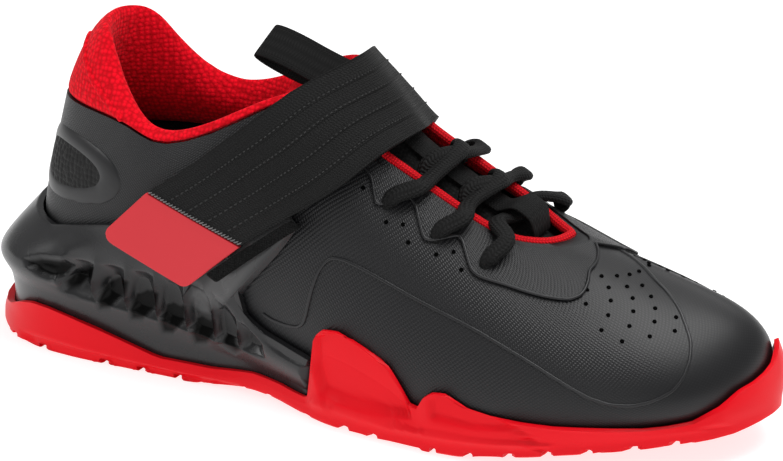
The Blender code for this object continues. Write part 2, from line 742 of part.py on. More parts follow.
def tongue_section(station):
    """Middle point, half width and drop of the tongue at a place counted in sections."""
    table = np.array(TONGUE)
    x, z, wide, drop = (smooth_weights(len(table), [station], False) @ table)[0]
    return x * LENGTH - HEEL_REST, z * COLLAR_HEIGHT, wide * BALL_WIDTH, drop * COLLAR_HEIGHT


def tongue_point(station, across, rise=0.0):
    """A point on the tongue: across runs from -1 at the outer edge to 1 at the inner one."""
    x, z, wide, drop = tongue_section(station)
    ahead, behind = tongue_section(station - .05), tongue_section(station + .05)
    slope = np.array((ahead[0] - behind[0], 0, ahead[1] - behind[1]))
    slope /= np.linalg.norm(slope)
    side = np.array((0, wide, -2 * drop * across))
    out = np.cross(slope, side)
    out /= np.linalg.norm(out)
    return np.array((x, across * wide, z - drop * across ** 2)) + out * rise


def build_tongue():
    """A padded tongue, thinner along its sides and at its front end."""
    loops = []
    last = len(TONGUE) - 1
    for station in np.linspace(0, last, 2 * last + 1):
        full = min(1, .4 + station * .25)
        across = np.linspace(-1, 1, 7)
        over = [tongue_point(station, a) for a in across]
        under = [tongue_point(station, a,
                              -TONGUE_THICKNESS * full * (1 - .6 * a * a)) for a in across[::-1]]
        loops.append(np.vstack((over, under)))
    return finish_object("tongue", ring_body(loops, False), (.03, .03, .03), .8)


KEEPER = 2.08
KEEPER_RISE = 0.0072


def webbing_rise(station):
    """Height of the webbing over the tongue: it lifts where the lowest lace passes under."""
    return SOFT_GAP + KEEPER_RISE * float(np.exp(-((station - KEEPER) / .42) ** 4))


def build_webbing():
    """The ribbed webbing down the middle of the tongue."""
    loops = []
    for station in [*np.linspace(1.57, 2.6, 9), *np.linspace(3.1, 6.55, 8)]:
        half = WEBBING_WIDTH / 2 / tongue_section(station)[2]
        low = webbing_rise(station)
        across = (-half, 0, half)
        loops.append([tongue_point(station, a, low) for a in across]
                     + [tongue_point(station, a, low + WEBBING_THICKNESS) for a in across[::-1]])
    return finish_object("tongue_webbing", ring_body(loops, False), (.03, .03, .03), .7)


# The pull loop: its bend and root as shares, its leading width direction, and its open height
LOOP_ROOT = (.434, -.028, .912)
LOOP_BEND = (.357, -.028, .968)
LOOP_TILT = (-.22, -.83, -.52)
LOOP_OPEN = 0.0036


def build_pull_loop():
    """A flattened loop of webbing at the top of the tongue."""
    root, bend = place(LOOP_ROOT), place(LOOP_BEND)
    ahead = bend - root
    reach = np.linalg.norm(ahead)
    ahead /= reach
    wide = np.array(LOOP_TILT) / np.linalg.norm(LOOP_TILT)
    wide -= ahead * np.dot(wide, ahead)
    up = np.cross(ahead, wide)
    centre_line = [(0, 0), (.25, .30), (.6, .46), (.85, .48)]
    turn = [(.9 + .1 * np.sin(t), .5 * np.cos(t)) for t in np.linspace(.35, np.pi - .35, 6)]
    path = centre_line + turn + [(x, -y) for x, y in centre_line[::-1]]
    path[0], path[-1] = (0, .25), (0, -.25)
    path = np.array(path) * (reach, LOOP_OPEN)
    loops = []
    for i, (along, high) in enumerate(path):
        before, after = path[max(i - 1, 0)], path[min(i + 1, len(path) - 1)]
        heading = (after - before) / np.linalg.norm(after - before)
        normal = ahead * heading[1] - up * heading[0]
        middle = root + ahead * along + up * high
        half, thick = wide * LOOP_WIDTH / 2, normal * LOOP_THICKNESS / 2
        loops.append([middle - half - thick, middle + half - thick, middle + half + thick,
                      middle - half + thick])
    return finish_object("tongue_pull_loop", ring_body(loops, False), (.03, .03, .03), .7)


# Overlays cut from the upper's own skin

# Lower edge of the eyestay: columns counted from the toe, and rows
EYESTAY_EDGE = ((0, 3.80), (.15, 3.78), (1.0, 3.62), (1.85, 3.42), (2.5, 3.06), (2.75, 3.00),
                (3.25, 3.05), (3.6, 3.08),
                (4.0, 3.06), (4.1, 3.12), (4.15, 3.5), (4.22, 3.56), (4.64, 3.28), (4.75, 3.26),
                (4.86, 3.64),
                (4.95, 3.70), (5.42, 3.34), (5.5, 3.32), (5.62, 3.64), (6.1, 3.70))
EYESTAY_TOP = 3.88
# The line where the side panel and the toe cap end: columns counted from the toe, and rows
PANEL_OUT = ((7.05, .86), (6.85, .84), (6.6, .92), (6.45, 1.05), (6.38, 1.25), (6.34, 1.5),
             (6.28, 1.8), (6.2, 2.05),
             (6.08, 2.22), (5.9, 2.31), (5.5, 2.36), (5.1, 2.36), (4.35, 2.28), (3.9, 2.12),
             (3.5, 1.9), (3.1, 1.56),
             (2.85, 1.34), (2.55, 1.2), (2.25, 1.24), (1.9, 1.42), (1.65, 1.7), (1.4, 2.02),
             (1.25, 2.36), (1.0, 2.7),
             (.65, 3.04), (.25, 3.28), (-.5, 3.5), (-1.0, 3.60))
PANEL_IN = ((7.05, .86), (6.85, .87), (6.6, 1.0), (6.4, 1.5), (6.2, 2.05), (5.9, 2.31), (5.1, 2.36),
            (4.35, 2.28),
            (3.5, 1.9), (2.9, 1.4), (2.5, 1.25), (2.1, 1.4), (1.8, 1.9), (1.7, 2.5), (1.6, 3.0),
            (1.45, 3.42))
PANEL_LINE_WIDTH = 0.0016


def strip_over_skin(columns, lower, upper, rise, thickness, across=2):
    """A thin body over the upper between two rows at each column."""
    outer, inner = [], []
    for column, low, high in zip(columns, lower, upper):
        rows = np.linspace(low, high, across + 1)
        inner.append(UPPER_SKIN.off([column], rows, rise)[0])
        outer.append(UPPER_SKIN.off([column], rows, rise + thickness)[0])
    return thin_body(outer, inner)


def build_eyestay():
    """The scalloped lace stay round the throat."""
    half = np.array(EYESTAY_EDGE)
    columns = [*(COLUMNS - half[::-1, 0]), *(COLUMNS + half[1:, 0])]
    edge = [*half[::-1, 1], *half[1:, 1]]
    top = [EYESTAY_TOP] * len(edge)
    bm = strip_over_skin(columns, edge, top, SOFT_GAP, OVERLAY_THICKNESS)
    return finish_object("eyestay", bm, (.020, .020, .021), .5)


def build_panel_line(name, line, side):
    """The raised edge of the side panel, as a low ribbon on the upper."""
    knots = np.array(line)
    places = np.linspace(0, len(knots) - 1, len(knots) + 6)
    path = smooth_weights(len(knots), places, False) @ knots
    spots = [UPPER_SKIN.at([side * c], [r])[0, 0] for c, r in path]
    loops = []
    for i, (column, row) in enumerate(path):
        heading = spots[min(i + 1, len(spots) - 1)] - spots[max(i - 1, 0)]
        out = UPPER_SKIN.normals([side * column], [row])[0, 0]
        across = np.cross(out, heading)
        across *= PANEL_LINE_WIDTH / 2 / np.linalg.norm(across)
        low, high = out * SOFT_GAP, out * (SOFT_GAP + OVERLAY_THICKNESS)
        loops.append([spots[i] - across + low, spots[i] + across + low,
                      spots[i] + across * .6 + high,
                      spots[i] - across * .6 + high])
    return finish_object(name, ring_body(loops, False), (.020, .020, .021), .5)


# The frame round the mesh window: its middle as column and row, then inner and outer reach
WINDOW = (11.25, 2.45)
WINDOW_REACH = (.95, .42)
FRAME_REACH = (1.55, .93)
FRAME_RISE = 0.0016
FRAME_POINTS = 20


def build_counter_frame(name, side):
    """The raised frame round the mesh window at one side of the heel."""
    loops = []
    for turn in np.linspace(0, 2 * np.pi, FRAME_POINTS + 1)[:-1]:
        loop = []
        for share, rise in ((0, 0), (0, .5), (.25, 1), (.7, .75), (1, 0)):
            reach = [a + (b - a) * share for a, b in zip(WINDOW_REACH, FRAME_REACH)]
            column = side * (WINDOW[0] + reach[0] * np.cos(turn))
            row = WINDOW[1] + reach[1] * np.sin(turn)
            loop.append(UPPER_SKIN.off([column], [row], SOFT_GAP + FRAME_RISE * rise)[0, 0])
        loops.append(loop)
    return finish_object(name, ring_body(loops, True), (.022, .022, .023), .45)


# Strap and tab

# Rear and front edges of the strap from the tab over the instep to the inner side: shares
STRAP = (((.2697, -.404, .5847), (.3977, -.430, .4855)), ((.320, -.404, .675), (.460, -.426, .597)),
         ((.358, -.390, .753), (.497, -.400, .660)), ((.400, -.352, .838), (.525, -.358, .715)),
         ((.435, -.270, .915), (.553, -.275, .782)), ((.470, -.150, .966), (.566, -.155, .802)),
         ((.488, -.047, .990), (.570, -.047, .803)), ((.476, .085, .968), (.553, .085, .768)),
         ((.452, .230, .915), (.540, .222, .745)), ((.412, .325, .800), (.508, .302, .655)),
         ((.370, .362, .650), (.470, .350, .540)), ((.335, .368, .510), (.445, .358, .440)))
STRAP_STATIONS = 23
# The tab: from its joint with the strap to its free end, each as a rear and a front corner
TAB = (((.268, -.404, .581), (.3965, -.430, .4815)), ((.2045, -.412, .425), (.3235, -.434, .325)))
HOOK_STRIP = (((.4615, -.428, .588), (.478, -.428, .578)), ((.402, -.436, .478),
              (.4165, -.436, .462)),
              ((.352, -.438, .382), (.3665, -.438, .362)))
HOOK_THICKNESS = 0.0014


def build_band(name, edges, stations, thickness, across, bow, colour, roughness):
    """A flat band between two edges that follow a table."""
    skin = Skin([[place(a), place(b)] for a, b in edges], closed=False)
    places = np.linspace(0, len(edges) - 1, stations)
    rows = np.linspace(0, 1, across + 1)
    inward = -1 if skin.normals([places[1]], [.5])[0, 0][1] < 0 else 1
    outer, inner = [], []
    for station in places:
        inside = float(np.clip(station, .05, len(edges) - 1.05))
        out = skin.normals([inside], rows)[0] * inward * -1
        line = skin.at([station], rows)[0] + out * (bow * 4 * rows * (1 - rows))[:, None]
        outer.append(line)
        inner.append(line - out * thickness)
    return finish_object(name, thin_body(outer, inner), colour, roughness)


# Laces

# Eyelets of the outer side as columns and rows, from the lowest pair up
EYELETS = ((3.85, 3.42), (4.55, 3.50), (5.30, 3.55))
LACE_OVER = 0.0007
CROSS_RISE = 0.0050
CROSS_STEP = 0.0012
LACE_INSET = 0.0074
LACE_END = 0.0012
LACE_STATIONS = 12
LACE_SIDES = 6
BLACK = (.015, .015, .016)


def tongue_place(x):
    """The place on the tongue at which its middle is over x."""
    places = np.linspace(0, len(TONGUE) - 1, 120)
    return float(np.interp(-x, [-tongue_section(p)[0] for p in places], places))


def lace_over(side, pair, lean):
    """Points from an eyelet up to and over the bead, which it passes at a lean in columns."""
    column, row = EYELETS[pair]
    base = SOFT_GAP + OVERLAY_THICKNESS + LACE_OVER + LACE_THICKNESS / 2
    middle_row = (row + TOP_LINE) / 2
    start = UPPER_SKIN.off([side * (column + lean * .12)], [row], base)[0, 0]
    climb = UPPER_SKIN.off([side * (column + lean * .6)], [middle_row + .05], base + BEAD * .55)[0,
                                                                                                 0]
    edge, rise, out = rim_frame(side * (column + lean))
    crest = edge + rise * (BEAD + LACE_OVER + LACE_THICKNESS * .85) + out * BEAD * .5
    ups = UPPER_SKIN.normals([side * column], [row, middle_row])[0]
    return [start, climb, crest], [*ups, rise + out]


def lace_under(side, pair, lean):
    """Points from the tongue beside the bead up towards the crossing."""
    edge = rim_frame(side * (EYELETS[pair][0] + lean))[0]
    station = tongue_place(edge[0])
    across = (edge[1] - np.sign(edge[1]) * LACE_INSET) / tongue_section(station)[2]
    start = tongue_point(station, across, LACE_OVER + LACE_THICKNESS / 2)
    ahead = tongue_point(station + .1, across * .6, (LACE_OVER + CROSS_RISE + LACE_THICKNESS) * .62)
    up = tongue_point(station, across, 1) - tongue_point(station, across)
    return [start, ahead], [up, up]


def lace_run(near, far, rise):
    """One run over the tongue between the points of one side and those of the other."""
    (near, near_ups), (far, far_ups) = near, far
    station = tongue_place((near[-1][0] + far[-1][0]) / 2)
    middle = tongue_point(station, 0, rise + LACE_THICKNESS / 2)
    upward = tongue_point(station, 0, 1) - tongue_point(station, 0)
    knots = np.array([*near, middle, *far[::-1]])
    weights = smooth_weights(len(knots), np.linspace(0, len(knots) - 1, LACE_STATIONS), False)
    path = weights @ knots
    ups = weights @ np.array([*near_ups, upward, *far_ups[::-1]])
    turns = np.linspace(0, 2 * np.pi, LACE_SIDES + 1)[:-1, None]
    loops = []
    for i, point in enumerate(path):
        heading = path[min(i + 1, len(path) - 1)] - path[max(i - 1, 0)]
        heading /= np.linalg.norm(heading)
        wide = np.cross(heading, ups[i])
        wide /= np.linalg.norm(wide)
        up = np.cross(wide, heading)
        loop = wide * LACE_WIDTH / 2 * np.cos(turns) + up * LACE_THICKNESS / 2 * np.sin(turns)
        if i == 0:
            loops.append(point + loop * .6 - heading * LACE_END - up * LACE_THICKNESS * .2)
        loops.append(point + loop)
    loops.append(point + loop * .6 + heading * LACE_END - up * LACE_THICKNESS * .2)
    return ring_body(loops, False)


def build_laces():
    """The lowest bar from eyelet to eyelet, and the crossings above it."""
    bar = lace_run(lace_over(1, 0, -.9), lace_over(-1, 0, -.9), LACE_OVER)
    finish_object("lace_bar", bar, BLACK, .8)
    for low, name in enumerate(("lace_cross_low", "lace_cross_top")):
        pair = []
        for side, rise in ((1, CROSS_RISE), (-1, CROSS_RISE + CROSS_STEP)):
            run = lace_run(lace_under(side, low, .3), lace_over(-side, low + 1, -.75), rise)
            pair.append(finish_object(name if side == 1 else name + "_guide", run, BLACK, .8))
        join(pair[0], pair[1:])


for old in list(bpy.data.objects):
    bpy.data.objects.remove(old)
build_upper()
build_cage()
build_outsole()
build_insole()
build_lining()
build_tongue()
build_webbing()
build_pull_loop()
build_eyestay()
build_panel_line("side_panel_line_out", PANEL_OUT, 1)
build_panel_line("side_panel_line_in", PANEL_IN, -1)
build_counter_frame("heel_counter_frame_out", 1)
build_counter_frame("heel_counter_frame_in", -1)
build_band("strap", STRAP, STRAP_STATIONS, STRAP_THICKNESS, 4, .0006, (.016, .016, .017), .8)
build_band("strap_tab", TAB, 6, TAB_THICKNESS, 4, .0003, (.66, .035, .045), .6)
build_band("strap_hook_strip", HOOK_STRIP, 8, HOOK_THICKNESS, 1, 0, (.01, .01, .01), .95)
build_laces()
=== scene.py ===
# %% [markdown]
# # A weightlifting shoe
# A weightlifting shoe has a flat, hard, raised heel. Here it is a red rubber sole, a black
# moulded cage round the heel, a black upper with a red padded collar, laces over a tongue,
# and a wide strap across the instep that ends in a red tab.
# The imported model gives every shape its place. This script dresses it: each soft piece is
# remade finer on the same spot, and small things such as stitches and holes are added.

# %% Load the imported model
import bpy
import numpy as np
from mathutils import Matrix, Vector
from mathutils.kdtree import KDTree


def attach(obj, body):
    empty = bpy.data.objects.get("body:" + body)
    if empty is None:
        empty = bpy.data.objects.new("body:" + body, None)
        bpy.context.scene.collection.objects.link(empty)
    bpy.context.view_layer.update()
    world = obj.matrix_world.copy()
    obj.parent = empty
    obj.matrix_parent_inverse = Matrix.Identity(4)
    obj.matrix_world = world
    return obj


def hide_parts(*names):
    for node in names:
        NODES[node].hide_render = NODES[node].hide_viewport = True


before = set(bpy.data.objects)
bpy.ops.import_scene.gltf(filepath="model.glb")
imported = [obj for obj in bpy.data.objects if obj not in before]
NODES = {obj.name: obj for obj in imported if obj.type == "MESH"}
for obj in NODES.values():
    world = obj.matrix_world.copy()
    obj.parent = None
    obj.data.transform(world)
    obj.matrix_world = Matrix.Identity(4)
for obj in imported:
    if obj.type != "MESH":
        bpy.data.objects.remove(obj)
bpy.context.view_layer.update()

# %% [markdown]
# ## Camera
# The photograph looks at the outer side of a right shoe, a little from the front and from
# above, through a long lens. The camera's angle and lens were found by matching the shoe's
# outline, so they are plain numbers here.

# %% Camera
LOOK_AT = Vector((.1125, -.005, .0585))
BACK = Vector((.4209, -.8261, .3746))
DISTANCE = 1.5
bpy.ops.object.camera_add()
camera = bpy.context.object
camera.name = "photo_camera"
camera.location = LOOK_AT + BACK * DISTANCE
camera.rotation_euler = BACK.to_track_quat("Z", "Y").to_euler()
camera.data.lens = 197.06
camera.data.sensor_width = 36
camera.data.clip_end = 10
bpy.context.scene.camera = camera

# %% [markdown]
# ## Studio
# Product photographs of dark things use large soft lights, so that long gentle highlights
# show the form. One wide light hangs above the toe, one stands at the heel, and a low one
# in front keeps the sole's side from going dark. The floor is a plain pale sheet.

# %% Studio
def soft_light(name, spot, size, power):
    """A square light at a spot, which faces the shoe."""
    bpy.ops.object.light_add(type="AREA", location=spot)
    light = bpy.context.object
    light.name = name
    light.data.size = size
    light.data.energy = power
    light.rotation_euler = (Vector(spot) - LOOK_AT).to_track_quat("Z", "Y").to_euler()
    return light


soft_light("light_above", (.45, .10, 1.05), .7, 9.5)
soft_light("light_heel", (-.95, -.55, .75), .5, 3.6)
soft_light("light_front", (.45, -1.25, .55), .7, 2.2)
soft_light("light_behind", (.2, 1.1, .8), .6, 1.5)

world = bpy.data.worlds.new("studio")
bpy.context.scene.world = world
world.use_nodes = True
sky = world.node_tree.nodes["Background"].inputs
sky["Color"].default_value = (1, 1, 1, 1)
sky["Strength"].default_value = .40
bpy.context.scene.view_settings.view_transform = "Standard"

bpy.ops.mesh.primitive_plane_add(size=8, location=(0, 0, -.0002))
floor = bpy.context.object
floor.name = "floor"
paint = bpy.data.materials.new("floor_sheet")
paint.use_nodes = True
sheet = paint.node_tree.nodes["Principled BSDF"].inputs
sheet["Base Color"].default_value = (.45, .45, .45, 1)
sheet["Roughness"].default_value = .7
sheet["Emission Color"].default_value = (1, 1, 1, 1)
sheet["Emission Strength"].default_value = .76
floor.data.materials.append(paint)

# %% [markdown]
# ## Where things are on the shoe
# A shoe has few straight lines, so a place on it is given as a column and a row. Columns
# count round the foot: 0 is the toe, 13 the back of the heel, and they run along the outer
# side first. Rows count up from the sole: 0 is the lowest edge and 4 the top line.
# The tables are the same as in the solid model, in shares of the shoe's length, width
# and height. A seam is then a short list of columns and rows.

# %% Places on the upper
LENGTH = .300
WIDTH = .106
HEIGHT = .124
HEEL_REST = .045
SHARE = np.array((LENGTH, WIDTH, HEIGHT))
SHIFT = np.array((HEEL_REST, 0, 0))
BEAD = .0032
SOFT_GAP = .0005
# Lowest edge as x and y shares, then x, y and z shares of four more rows
UPPER = (
    ((.967, .090), (.983, .090, .258), (.950, .085, .363), (.873, .066, .435), (.747, .028, .532)),
    ((.953, -.075), (.970, -.085, .218), (.937, -.066, .339), (.860, -.028, .431), (.737, -.047, .532)),
    ((.903, -.245), (.920, -.274, .194), (.890, -.236, .315), (.823, -.132, .435), (.713, -.104, .540)),
    ((.827, -.368), (.833, -.410, .177), (.817, -.368, .306), (.767, -.255, .435), (.687, -.146, .560)),
    ((.727, -.434), (.727, -.476, .177), (.717, -.434, .331), (.687, -.321, .476), (.640, -.170, .613)),
    ((.620, -.434), (.620, -.476, .194), (.613, -.439, .371), (.597, -.340, .540), (.570, -.184, .702)),
    ((.520, -.396), (.520, -.439, .234), (.517, -.410, .435), (.513, -.330, .637), (.505, -.198, .798)),
    ((.420, -.340), (.420, -.382, .298), (.423, -.377, .492), (.433, -.325, .712), (.447, -.231, .887)),
    ((.347, -.321), (.347, -.363, .331), (.350, -.368, .500), (.363, -.344, .661), (.370, -.302, .806)),
    ((.273, -.321), (.273, -.354, .355), (.273, -.358, .492), (.277, -.349, .613), (.280, -.321, .710)),
    ((.200, -.311), (.200, -.335, .363), (.203, -.330, .500), (.213, -.321, .629), (.223, -.302, .734)),
    ((.120, -.236), (.113, -.250, .371), (.123, -.245, .500), (.137, -.236, .629), (.150, -.226, .742)),
    ((.083, -.132), (.072, -.142, .371), (.082, -.137, .500), (.093, -.127, .629), (.105, -.127, .738)),
    ((.073, .000), (.058, .000, .379), (.068, .000, .500), (.080, .000, .629), (.090, .000, .734)),
    ((.083, .132), (.072, .142, .371), (.082, .137, .500), (.093, .127, .629), (.105, .127, .738)),
    ((.120, .236), (.113, .250, .371), (.123, .245, .500), (.137, .236, .629), (.150, .226, .738)),
    ((.200, .302), (.200, .330, .363), (.203, .325, .500), (.213, .311, .621), (.223, .292, .718)),
    ((.273, .292), (.273, .330, .355), (.273, .340, .492), (.277, .330, .613), (.280, .307, .706)),
    ((.347, .264), (.347, .311, .331), (.350, .335, .500), (.360, .325, .661), (.370, .283, .790)),
    ((.420, .245), (.420, .302, .298), (.423, .330, .492), (.433, .292, .712), (.447, .217, .879)),
    ((.520, .274), (.520, .325, .234), (.520, .330, .435), (.517, .274, .637), (.508, .170, .790)),
    ((.627, .349), (.627, .396, .194), (.620, .377, .355), (.603, .292, .532), (.577, .156, .694)),
    ((.733, .396), (.733, .439, .177), (.723, .396, .331), (.693, .292, .484), (.647, .142, .617)),
    ((.833, .387), (.837, .429, .177), (.820, .387, .306), (.770, .264, .435), (.693, .127, .565)),
    ((.910, .311), (.923, .349, .194), (.897, .311, .306), (.830, .189, .427), (.720, .094, .544)),
    ((.953, .208), (.970, .222, .226), (.940, .208, .339), (.867, .132, .431), (.740, .066, .532)),
)
TURN = len(UPPER)
TOP_LINE = 4
# Height of the platform under the foot, from the heel to the toe: share of length, metres
BED = ((0, .0265), (.13, .0265), (.20, .0257), (.283, .0218), (.367, .0168), (.433, .0121), (.5, .0084),
       (.567, .0068), (.667, .0062), (.74, .0077), (.81, .0108), (.887, .0138), (.967, .0160), (1, .0167))


def place(shares):
    """Shares of the shoe's sizes as a point in metres."""
    return np.array(shares) * SHARE - SHIFT


def smooth_weights(count, places, closed):
    """Weights that blend the values at 0, 1, 2 ... into an even curve."""
    eye = np.eye(count)
    before, after = np.roll(eye, 1, 1), np.roll(eye, -1, 1)
    left, right = 4 * eye + before + after, 6 * (before + after - 2 * eye)
    if not closed:
        for end in (0, count - 1):
            left[end], right[end] = eye[end], 0
    bend = np.linalg.solve(left, right)
    places = np.atleast_1d(np.asarray(places, float))
    whole = np.floor(places).astype(int)
    if not closed:
        whole = np.clip(whole, 0, count - 2)
    share = (places - whole)[:, None]
    here, there = whole % count, (whole + 1) % count
    ahead = 1 - share
    return (ahead * eye[here] + share * eye[there]
            + (ahead ** 3 - ahead) / 6 * bend[here] + (share ** 3 - share) / 6 * bend[there])


class Skin:
    """A smooth surface through columns of points, read at a list of columns and rows."""

    def __init__(self, points, closed=False):
        self.points = np.array(points, float)
        self.closed = closed

    def at(self, columns, rows):
        """The points at pairs of a column and a row."""
        around = smooth_weights(len(self.points), columns, self.closed)
        upward = smooth_weights(self.points.shape[1], rows, False)
        return np.einsum("ni,nj,ijk->nk", around, upward, self.points)

    def slopes(self, columns, rows, step=.01):
        """How far one column and one row lead, at those places."""
        columns, rows = np.atleast_1d(columns).astype(float), np.atleast_1d(rows).astype(float)
        along = (self.at(columns + step, rows) - self.at(columns - step, rows)) / (2 * step)
        upward = (self.at(columns, rows + step) - self.at(columns, rows - step)) / (2 * step)
        return along, upward

    def out(self, columns, rows):
        """Unit directions away from the surface."""
        along, upward = self.slopes(columns, rows)
        across = np.cross(upward, along)
        return across / np.linalg.norm(across, axis=1, keepdims=True)

    def find(self, points, columns, rows):
        """The column and row nearest to each point, searched on a grid and then refined."""
        places = np.array([(c, r) for c in columns for r in rows])
        tree = KDTree(len(places))
        for index, point in enumerate(self.at(*places.T)):
            tree.insert(point, index)
        tree.balance()
        found = places[[tree.find(point)[1] for point in points]]
        for _ in range(3):
            gap = points - self.at(*found.T)
            along, upward = self.slopes(*found.T)
            aa, uu, au = [np.einsum("nk,nk->n", a, b) for a, b in
                          ((along, along), (upward, upward), (along, upward))]
            ga, gu = [np.einsum("nk,nk->n", gap, a) for a in (along, upward)]
            whole = np.maximum(aa * uu - au * au, 1e-14)
            found[:, 0] += np.clip((ga * uu - gu * au) / whole, -.3, .3)
            found[:, 1] += np.clip((gu * aa - ga * au) / whole, -.3, .3)
        return found


def upper_skin():
    """The outside of the upper."""
    points = []
    for feather, *rows in UPPER:
        foot = place((*feather, 0))
        foot[2] = np.interp(feather[0], *np.array(BED).T) + .0003
        points.append([foot, *[place(row) for row in rows]])
    return Skin(points, closed=True)


UPPER_SKIN = upper_skin()
print("upper skin:", TURN, "columns; toe at", UPPER_SKIN.at(0, 1).round(4))

# %% [markdown]
# ## How a surface gets its detail
# Cloth, rubber and plastic differ mostly in the small pattern on them. Each pattern is one
# node group: it takes a place and a pitch and gives a height for the bump and a shade for
# the colour. Materials then only say which pattern they use, how big it is, and its colours.

# %% Node helpers
def add(tree, kind, inputs=(), **settings):
    """A new node; inputs are pairs of an input's name or number and a value or a socket."""
    made = tree.nodes.new(kind)
    for key, value in settings.items():
        setattr(made, key, value)
    for key, value in inputs:
        if isinstance(value, bpy.types.NodeSocket):
            tree.links.new(value, made.inputs[key])
        else:
            made.inputs[key].default_value = value
    return made


def calc(tree, operation, first, second=0.0):
    """One step of arithmetic."""
    return add(tree, "ShaderNodeMath", ((0, first), (1, second)), operation=operation).outputs[0]


def pattern(name, build):
    """A node group with a place and a pitch in, and out the height and the shade that build makes."""
    tree = bpy.data.node_groups.new(name, "ShaderNodeTree")
    for title, way, kind in (("Place", "INPUT", "Vector"), ("Pitch", "INPUT", "Float"),
                             ("Height", "OUTPUT", "Float"), ("Shade", "OUTPUT", "Float")):
        tree.interface.new_socket(title, in_out=way, socket_type="NodeSocket" + kind)
    inside = tree.nodes.new("NodeGroupInput")
    outside = tree.nodes.new("NodeGroupOutput")
    grow = calc(tree, "DIVIDE", 1.0, inside.outputs["Pitch"])
    sized = add(tree, "ShaderNodeVectorMath", ((0, inside.outputs["Place"]), ("Scale", grow)),
                operation="SCALE")
    height, shade = build(tree, sized.outputs[0])
    tree.links.new(height, outside.inputs["Height"])
    tree.links.new(shade, outside.inputs["Shade"])
    return tree


def halves(tree, value, turns=1.0):
    """A wave from 0 to 1, with so many turns for each whole number."""
    angle = calc(tree, "MULTIPLY", value, 2 * np.pi * turns)
    lifted = calc(tree, "ADD", calc(tree, "SINE", angle), 1.0)
    return calc(tree, "MULTIPLY", lifted, .5)


def noise(tree, spot, scale, detail):
    """Cloudy changes, so many for each pitch."""
    made = add(tree, "ShaderNodeTexNoise", (("Vector", spot), ("Scale", scale), ("Detail", detail)))
    return made.outputs["Fac"]


def coated(tree, spot):
    """Small raised dots in straight rows, as on coated cloth."""
    along, across, _ = add(tree, "ShaderNodeSeparateXYZ", ((0, spot),)).outputs
    first = calc(tree, "ADD", along, across)
    second = calc(tree, "SUBTRACT", along, across)
    dots = calc(tree, "MULTIPLY", halves(tree, first, .5), halves(tree, second, .5))
    soft = calc(tree, "POWER", dots, .7)
    return soft, soft


def ribbed(tree, spot):
    """Webbing: ribs one pitch apart, each crossed by slanted threads."""
    along, across, _ = add(tree, "ShaderNodeSeparateXYZ", ((0, spot),)).outputs
    bend = calc(tree, "PINGPONG", calc(tree, "MULTIPLY", across, .5), .5)
    threads = halves(tree, calc(tree, "ADD", along, bend))
    ribs = halves(tree, across)
    height = calc(tree, "ADD", calc(tree, "MULTIPLY", threads, .55), calc(tree, "MULTIPLY", ribs, .45))
    rough = calc(tree, "MULTIPLY", noise(tree, spot, 3.0, 3.0), .3)
    return calc(tree, "ADD", height, rough), calc(tree, "MULTIPLY", threads, ribs)


def knitted(tree, spot):
    """A spacer knit: rounded loops with darker gaps, and a little fuzz."""
    cells = add(tree, "ShaderNodeTexVoronoi", (("Vector", spot), ("Scale", 1.0), ("Randomness", .45)))
    loops = calc(tree, "SUBTRACT", 1.0, cells.outputs["Distance"])
    fuzz = calc(tree, "MULTIPLY", noise(tree, spot, 4.0, 4.0), .35)
    shade = add(tree, "ShaderNodeMapRange", (("Value", loops), ("From Min", .35), ("From Max", .75)))
    return calc(tree, "ADD", loops, fuzz), shade.outputs[0]


def moulded(tree, spot):
    """Moulded rubber or plastic: a fine spark grain and slow cloudy changes of gloss."""
    return noise(tree, spot, 1.0, 4.0), noise(tree, spot, .03, 3.0)


COATED = pattern("coated_dots", coated)
RIBBED = pattern("ribbed_webbing", ribbed)
KNIT = pattern("knit_loops", knitted)
MOULDED = pattern("moulded_grain", moulded)

# %% [markdown]
# ## Materials
# A material's colour and roughness run with the pattern's shade. Woven and coated cloths follow
# the piece's own map, so their threads run with it. The rest is the same in every direction.

# %% Materials
def colour_of(value):
    """Red, green, blue and opacity, from three numbers or from one grey."""
    return (*np.broadcast_to(value, 3).tolist(), 1)


def dressed(name, look, pitch, colour, shade, roughness, depth, gloss):
    """A material: pitch and depth in metres, colours and roughness at full and at no shade."""
    made = bpy.data.materials.new(name)
    made.use_nodes = True
    tree = made.node_tree
    shader = tree.nodes["Principled BSDF"].inputs
    mapped = look in (COATED, RIBBED)
    source = add(tree, "ShaderNodeUVMap", uv_map="places") if mapped else add(tree, "ShaderNodeTexCoord")
    effect = add(tree, "ShaderNodeGroup", name="pattern", node_tree=look)
    tree.links.new(source.outputs["UV" if mapped else "Object"], effect.inputs["Place"])
    effect.inputs["Pitch"].default_value = pitch
    height, amount = effect.outputs
    tint = add(tree, "ShaderNodeMix", (("Factor", amount), (6, colour_of(shade)), (7, colour_of(colour))),
               data_type="RGBA")
    gloss_range = (("Value", amount), ("To Min", roughness[0]), ("To Max", roughness[1]))
    relief = add(tree, "ShaderNodeBump", (("Height", height), ("Distance", depth)), name="relief")
    tree.links.new(tint.outputs[2], shader["Base Color"])
    tree.links.new(add(tree, "ShaderNodeMapRange", gloss_range).outputs[0], shader["Roughness"])
    tree.links.new(relief.outputs[0], shader["Normal"])
    shader["Specular IOR Level"].default_value = gloss
    return made


def vertex_number(tree, name):
    """A number that the piece holds for each of its vertices."""
    return add(tree, "ShaderNodeAttribute", attribute_name=name).outputs["Fac"]


def tint_over(tree, factor, colour):
    """Lay a colour over the material's own, as far as the factor says."""
    base = tree.nodes["Principled BSDF"].inputs["Base Color"]
    under = base.links[0].from_socket
    mixed = add(tree, "ShaderNodeMix", (("Factor", factor), (6, under), (7, colour_of(colour))),
                data_type="RGBA")
    tree.links.new(mixed.outputs[2], base)


